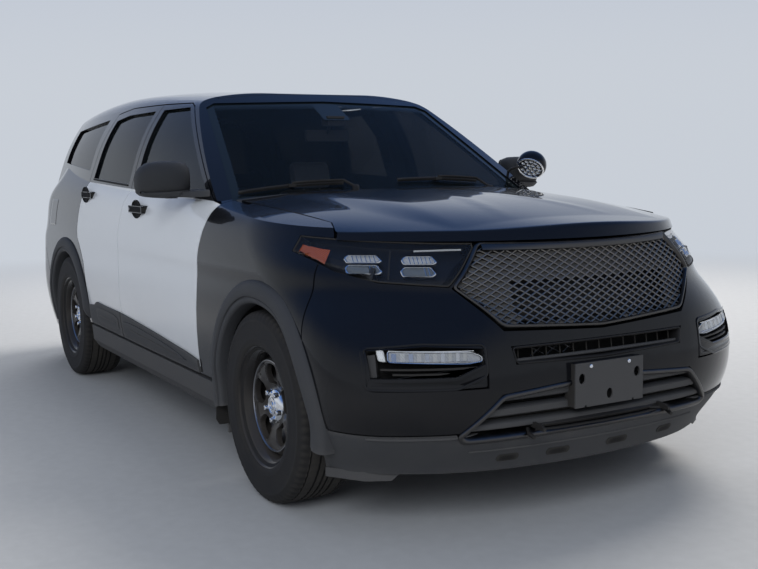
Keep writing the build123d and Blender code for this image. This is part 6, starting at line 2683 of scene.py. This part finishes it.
@dataclass
class RearEnd:
    """Lamps, wiper, handle strip, spoiler and bumper trim at the tail.

    Attributes:
        recess: Rear, front, low and high edges of the cover on the right body side.
        lamp: (|y|, low z, high z) stations of the lamp pads on the tailgate.
        wing: Half width of the spoiler.
        tips: y of the exhaust tips.
    """

    recess: tuple[float, float, float, float] = (-1.832, -1.668, 0.948, 1.112)
    lamp: Stations = (
        (0.790, 1.031, 1.157), (0.78, 1.032, 1.156), (0.70, 1.040, 1.150), (0.58, 1.052, 1.140),
        (0.50, 1.062, 1.130),
    )
    wing: float = 0.560
    tips: tuple[float, ...] = (-0.620, -0.530, 0.530, 0.620)

    def build(self) -> None:
        """Make the pieces."""
        gate = Skin("tailgate")
        self.lamps(gate)
        self.trim(gate)
        self.spoiler()
        self.wiper()
        self.bumper()
        self.side_lens()
        self.blank()

    @staticmethod
    def pad(skin: Skin, stations: Stations, proud: float, crown: float, mark: int = 0) -> Form:
        """Plate on the rear skin between two lines.

        Args:
            skin: Surface under it.
            stations: (y, low z, high z) across the vehicle.
            proud: How far it stands out.
            crown: Extra rise along its middle.
            mark: Finish number.

        Returns:
            The plate.
        """
        across = spread([Vector(s) for s in stations], 0.02)
        columns = []
        for s in across:
            lifts = [(lerp(s.y, s.z, k / 6), proud + crown * math.sin(math.pi * k / 6)) for k in range(7)]
            column = [skin.rear(s.x, z, lift) for z, lift in lifts]
            if all(column):
                columns.append(column)
        grid = [[column[k] for column in columns] for k in range(7)]
        return Form().shell(grid, Vector((proud + 0.004, 0, 0)), mark)

    def lamps(self, gate: Skin) -> None:
        """Red pads with lit bars and clear reversing strips."""
        form = Form()
        for sign in (1, -1):
            form.join(self.pad(gate, [(sign * y, a, b) for y, a, b in self.lamp], 0.010, 0.006, 0))
            bar = [(sign * y, (a + b) / 2 + 0.016, (a + b) / 2 + 0.030) for y, a, b in self.lamp]
            form.join(self.pad(gate, bar, 0.0168, 0.0015, 1))
            clear = [(sign * y, (a + b) / 2 - 0.034, (a + b) / 2 - 0.020) for y, a, b in self.lamp[1:]]
            form.join(self.pad(gate, clear, 0.0165, 0.0010, 2))
        form.piece("tailgate_lamps", ["lamp_red", "lamp_red_lit", "lamp_white"], slot="red_lens",
                   body="tailgate")

    def trim(self, gate: Skin) -> None:
        """Gloss strip, a near-black pad as painted shade of the plate recess, handle and plate lamps."""
        strip = [(-0.50, 1.068, 1.124), (0.0, 1.072, 1.120), (0.50, 1.068, 1.124)]
        form = self.pad(gate, strip, 0.008, 0.004, 0)
        # Painted shade: a flat near-black pad stands in for the shade of the plate recess.
        form.join(self.pad(gate, [(-0.20, 0.868, 1.010), (0.20, 0.868, 1.010)], 0.002, 0.0, 1))
        form.join(self.pad(gate, [(-0.215, 1.012, 1.044), (0.215, 1.012, 1.044)], 0.020, 0.006, 0))
        for y in (-0.1, 0.1):
            form.join(self.pad(gate, [(y - 0.02, 1.004, 1.012), (y + 0.02, 1.004, 1.012)], 0.012, 0.0, 2))
        form.piece("tailgate_trim", ["black_paint", "pit_black", "lamp_white"], slot="black_paint",
                   body="tailgate")

    def spoiler(self) -> None:
        """Spoiler over the rear window, with the third stop lamp."""
        wing = []
        for k in range(41):
            y = lerp(-self.wing, self.wing, k / 40)
            t = abs(y) / self.wing
            lead = -2.128 - 0.004 * t
            top = 1.700 - 0.052 * t**2.6
            tail = -2.262 + 0.045 * t**3
            ring = rounded([
                (lead, top), (tail + 0.02, top - 0.016), (tail, top - 0.034), (tail + 0.012, top - 0.048),
                (lead, top - 0.030)], 0.010, 3)
            wing.append([Vector((x, y, z)) for x, z in ring])
        form = Form().loft(wing, 0)
        stop = [[Vector((-2.2635 + 0.003 * (y / 0.2) ** 2, y, z)) for y in (-0.18, -0.09, 0.0, 0.09, 0.18)]
                for z in (1.659, 1.671)]
        form.shell(stop, Vector((0.010, 0, 0)), 1)
        form.piece("tail_spoiler", ["black_paint", "lamp_red_lit"], slot="black_paint", body="tailgate")

    @staticmethod
    def wiper() -> None:
        """Wiper that lies along the foot of the rear window."""
        glass = Skin("tailgate_glass")
        blade = []
        for k in range(21):
            rise = 0.012 * math.sin(math.pi * k / 20)
            blade.append(glass.rear(lerp(-0.36, 0.10, k / 20), 1.285 + rise, 0.012))
        blade = [p for p in blade if p]
        pivot = glass.rear(0.16, 1.285, 0.006)
        form = Form().tube(blade, 0.0062, 8, 0)
        arm = [pivot + Vector((-0.014, 0, 0)), *[p + Vector((-0.010, 0, 0)) for p in blade[:9:-1]]]
        form.tube(arm, 0.0058, 6, 0, flat=0.6)
        hub = [(0.024, -0.004), (0.024, 0.010), (0.019, 0.018), (0.0001, 0.021)]
        form.lathe(hub, stand(pivot, -78, "Y"), 24, 0)
        form.piece("rear_wiper", ["satin_black"], body="tailgate")

    def bumper(self) -> None:
        """Step pad, reflectors, grained apron, tow cover and exhaust tips."""
        skin = Skin("rear_bumper")
        apron = [(-0.80, 0.300, 0.455), (-0.45, 0.262, 0.480), (0.45, 0.262, 0.480), (0.80, 0.300, 0.455)]
        form = self.pad(skin, apron, 0.008, 0.004, 0)
        for sign in (1, -1):
            reflector = [(sign * 0.60, 0.512, 0.545), (sign * 0.78, 0.516, 0.541)]
            form.join(self.pad(skin, reflector, 0.006, 0.003, 1))
        for z in (0.335, 0.375, 0.415):
            form.join(self.pad(skin, [(-0.40, z, z + 0.008), (0.40, z, z + 0.008)], 0.0145, 0.001, 2))
        form.join(self.pad(skin, [(-0.075, 0.290, 0.325), (0.075, 0.290, 0.325)], 0.0150, 0.001, 2))
        form.piece("rear_apron", ["grain_grey", "lamp_red", "satin_black"])
        tips = Form()
        tip = [(0.030, -0.14), (0.033, 0.0), (0.034, 0.118), (0.037, 0.124), (0.037, 0.130), (0.034, 0.131),
               (0.031, 0.110), (0.029, 0.0), (0.0001, -0.01)]
        for y in self.tips:
            tips.lathe(tip, stand((-2.300, y, 0.225), -90, "Y"), 32, 0)
        tips.piece("exhaust_tips", ["chrome"], slot="steel")

    def blank(self) -> None:
        """Cover that closes the unused filler recess in the right body side."""
        skin = Skin("body_side_right")
        rear, front, low, high = self.recess

        def at(u: float, v: float) -> Vector:
            """Point of the skin on the cover's rim."""
            return skin.side(lerp(rear, front, u), lerp(low, high, v), -1, 0.0006)

        steps = [k / 16 for k in range(17)]
        foot, top = [at(u, 0) for u in steps], [at(u, 1) for u in steps]
        back, lead = [at(0, v) for v in steps], [at(1, v) for v in steps]
        grid = []
        for v, b, f in zip(steps, back, lead):
            low_row = [p.lerp(q, v) for p, q in zip(foot, top)]
            corners = [foot[0].lerp(top[0], v), foot[-1].lerp(top[-1], v)]
            grid.append([
                p + b.lerp(f, u) - corners[0].lerp(corners[1], u) for u, p in zip(steps, low_row)])
        form = Form().shell(grid, Vector((0, 0.003, 0)), 0)
        form.piece("filler_cover", ["black_paint"], slot="black_paint", edge=Edge.SMOOTH)

    @staticmethod
    def side_lens() -> None:
        """Lit bar and bright edge on the lamps in the body sides."""
        form = Form()
        skin = Skin("tail_lamps")
        bars = (
            ((-2.160, 1.045, 1.060), (-2.200, 1.043, 1.060), (-2.245, 1.041, 1.060)),
            ((-2.160, 1.118, 1.132), (-2.200, 1.124, 1.140), (-2.245, 1.130, 1.148)),
        )
        for sign in SIDES.values():
            for bar in bars:
                form.join(side_plate(skin, bar, sign, 0.0030, rows=2, step=0.02, crown=0.001))
        form.piece("side_lamp_bars", ["lamp_red_lit"], slot="red_lens")


def report_size() -> None:
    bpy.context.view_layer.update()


def main() -> None:
    """Build every sub-assembly in order."""
    logging.basicConfig(level=logging.INFO, format="%(message)s")
    bpy.context.scene.view_settings.view_transform = "Standard"
    Camera().make()
    Studio().build()
    CarriedPanels().dress()
    for end, x in (("front", FRONT_AXLE_X), ("rear", REAR_AXLE_X)):
        for hand, sign in SIDES.items():
            RoadWheel(f"{end}_{hand}", x, sign).build()
    for assembly in (
        BonnetLid(), Headlamps(), Grille(), RunningLamps(), LowerFront(), ArchFlares(), DoorTrim(),
        DoorMirror(), SearchLight(), ScreenFoot(), Cabin(), RearEnd(),
    ):
        assembly.build()
    report_size()


if __name__ == "__main__":
    main()
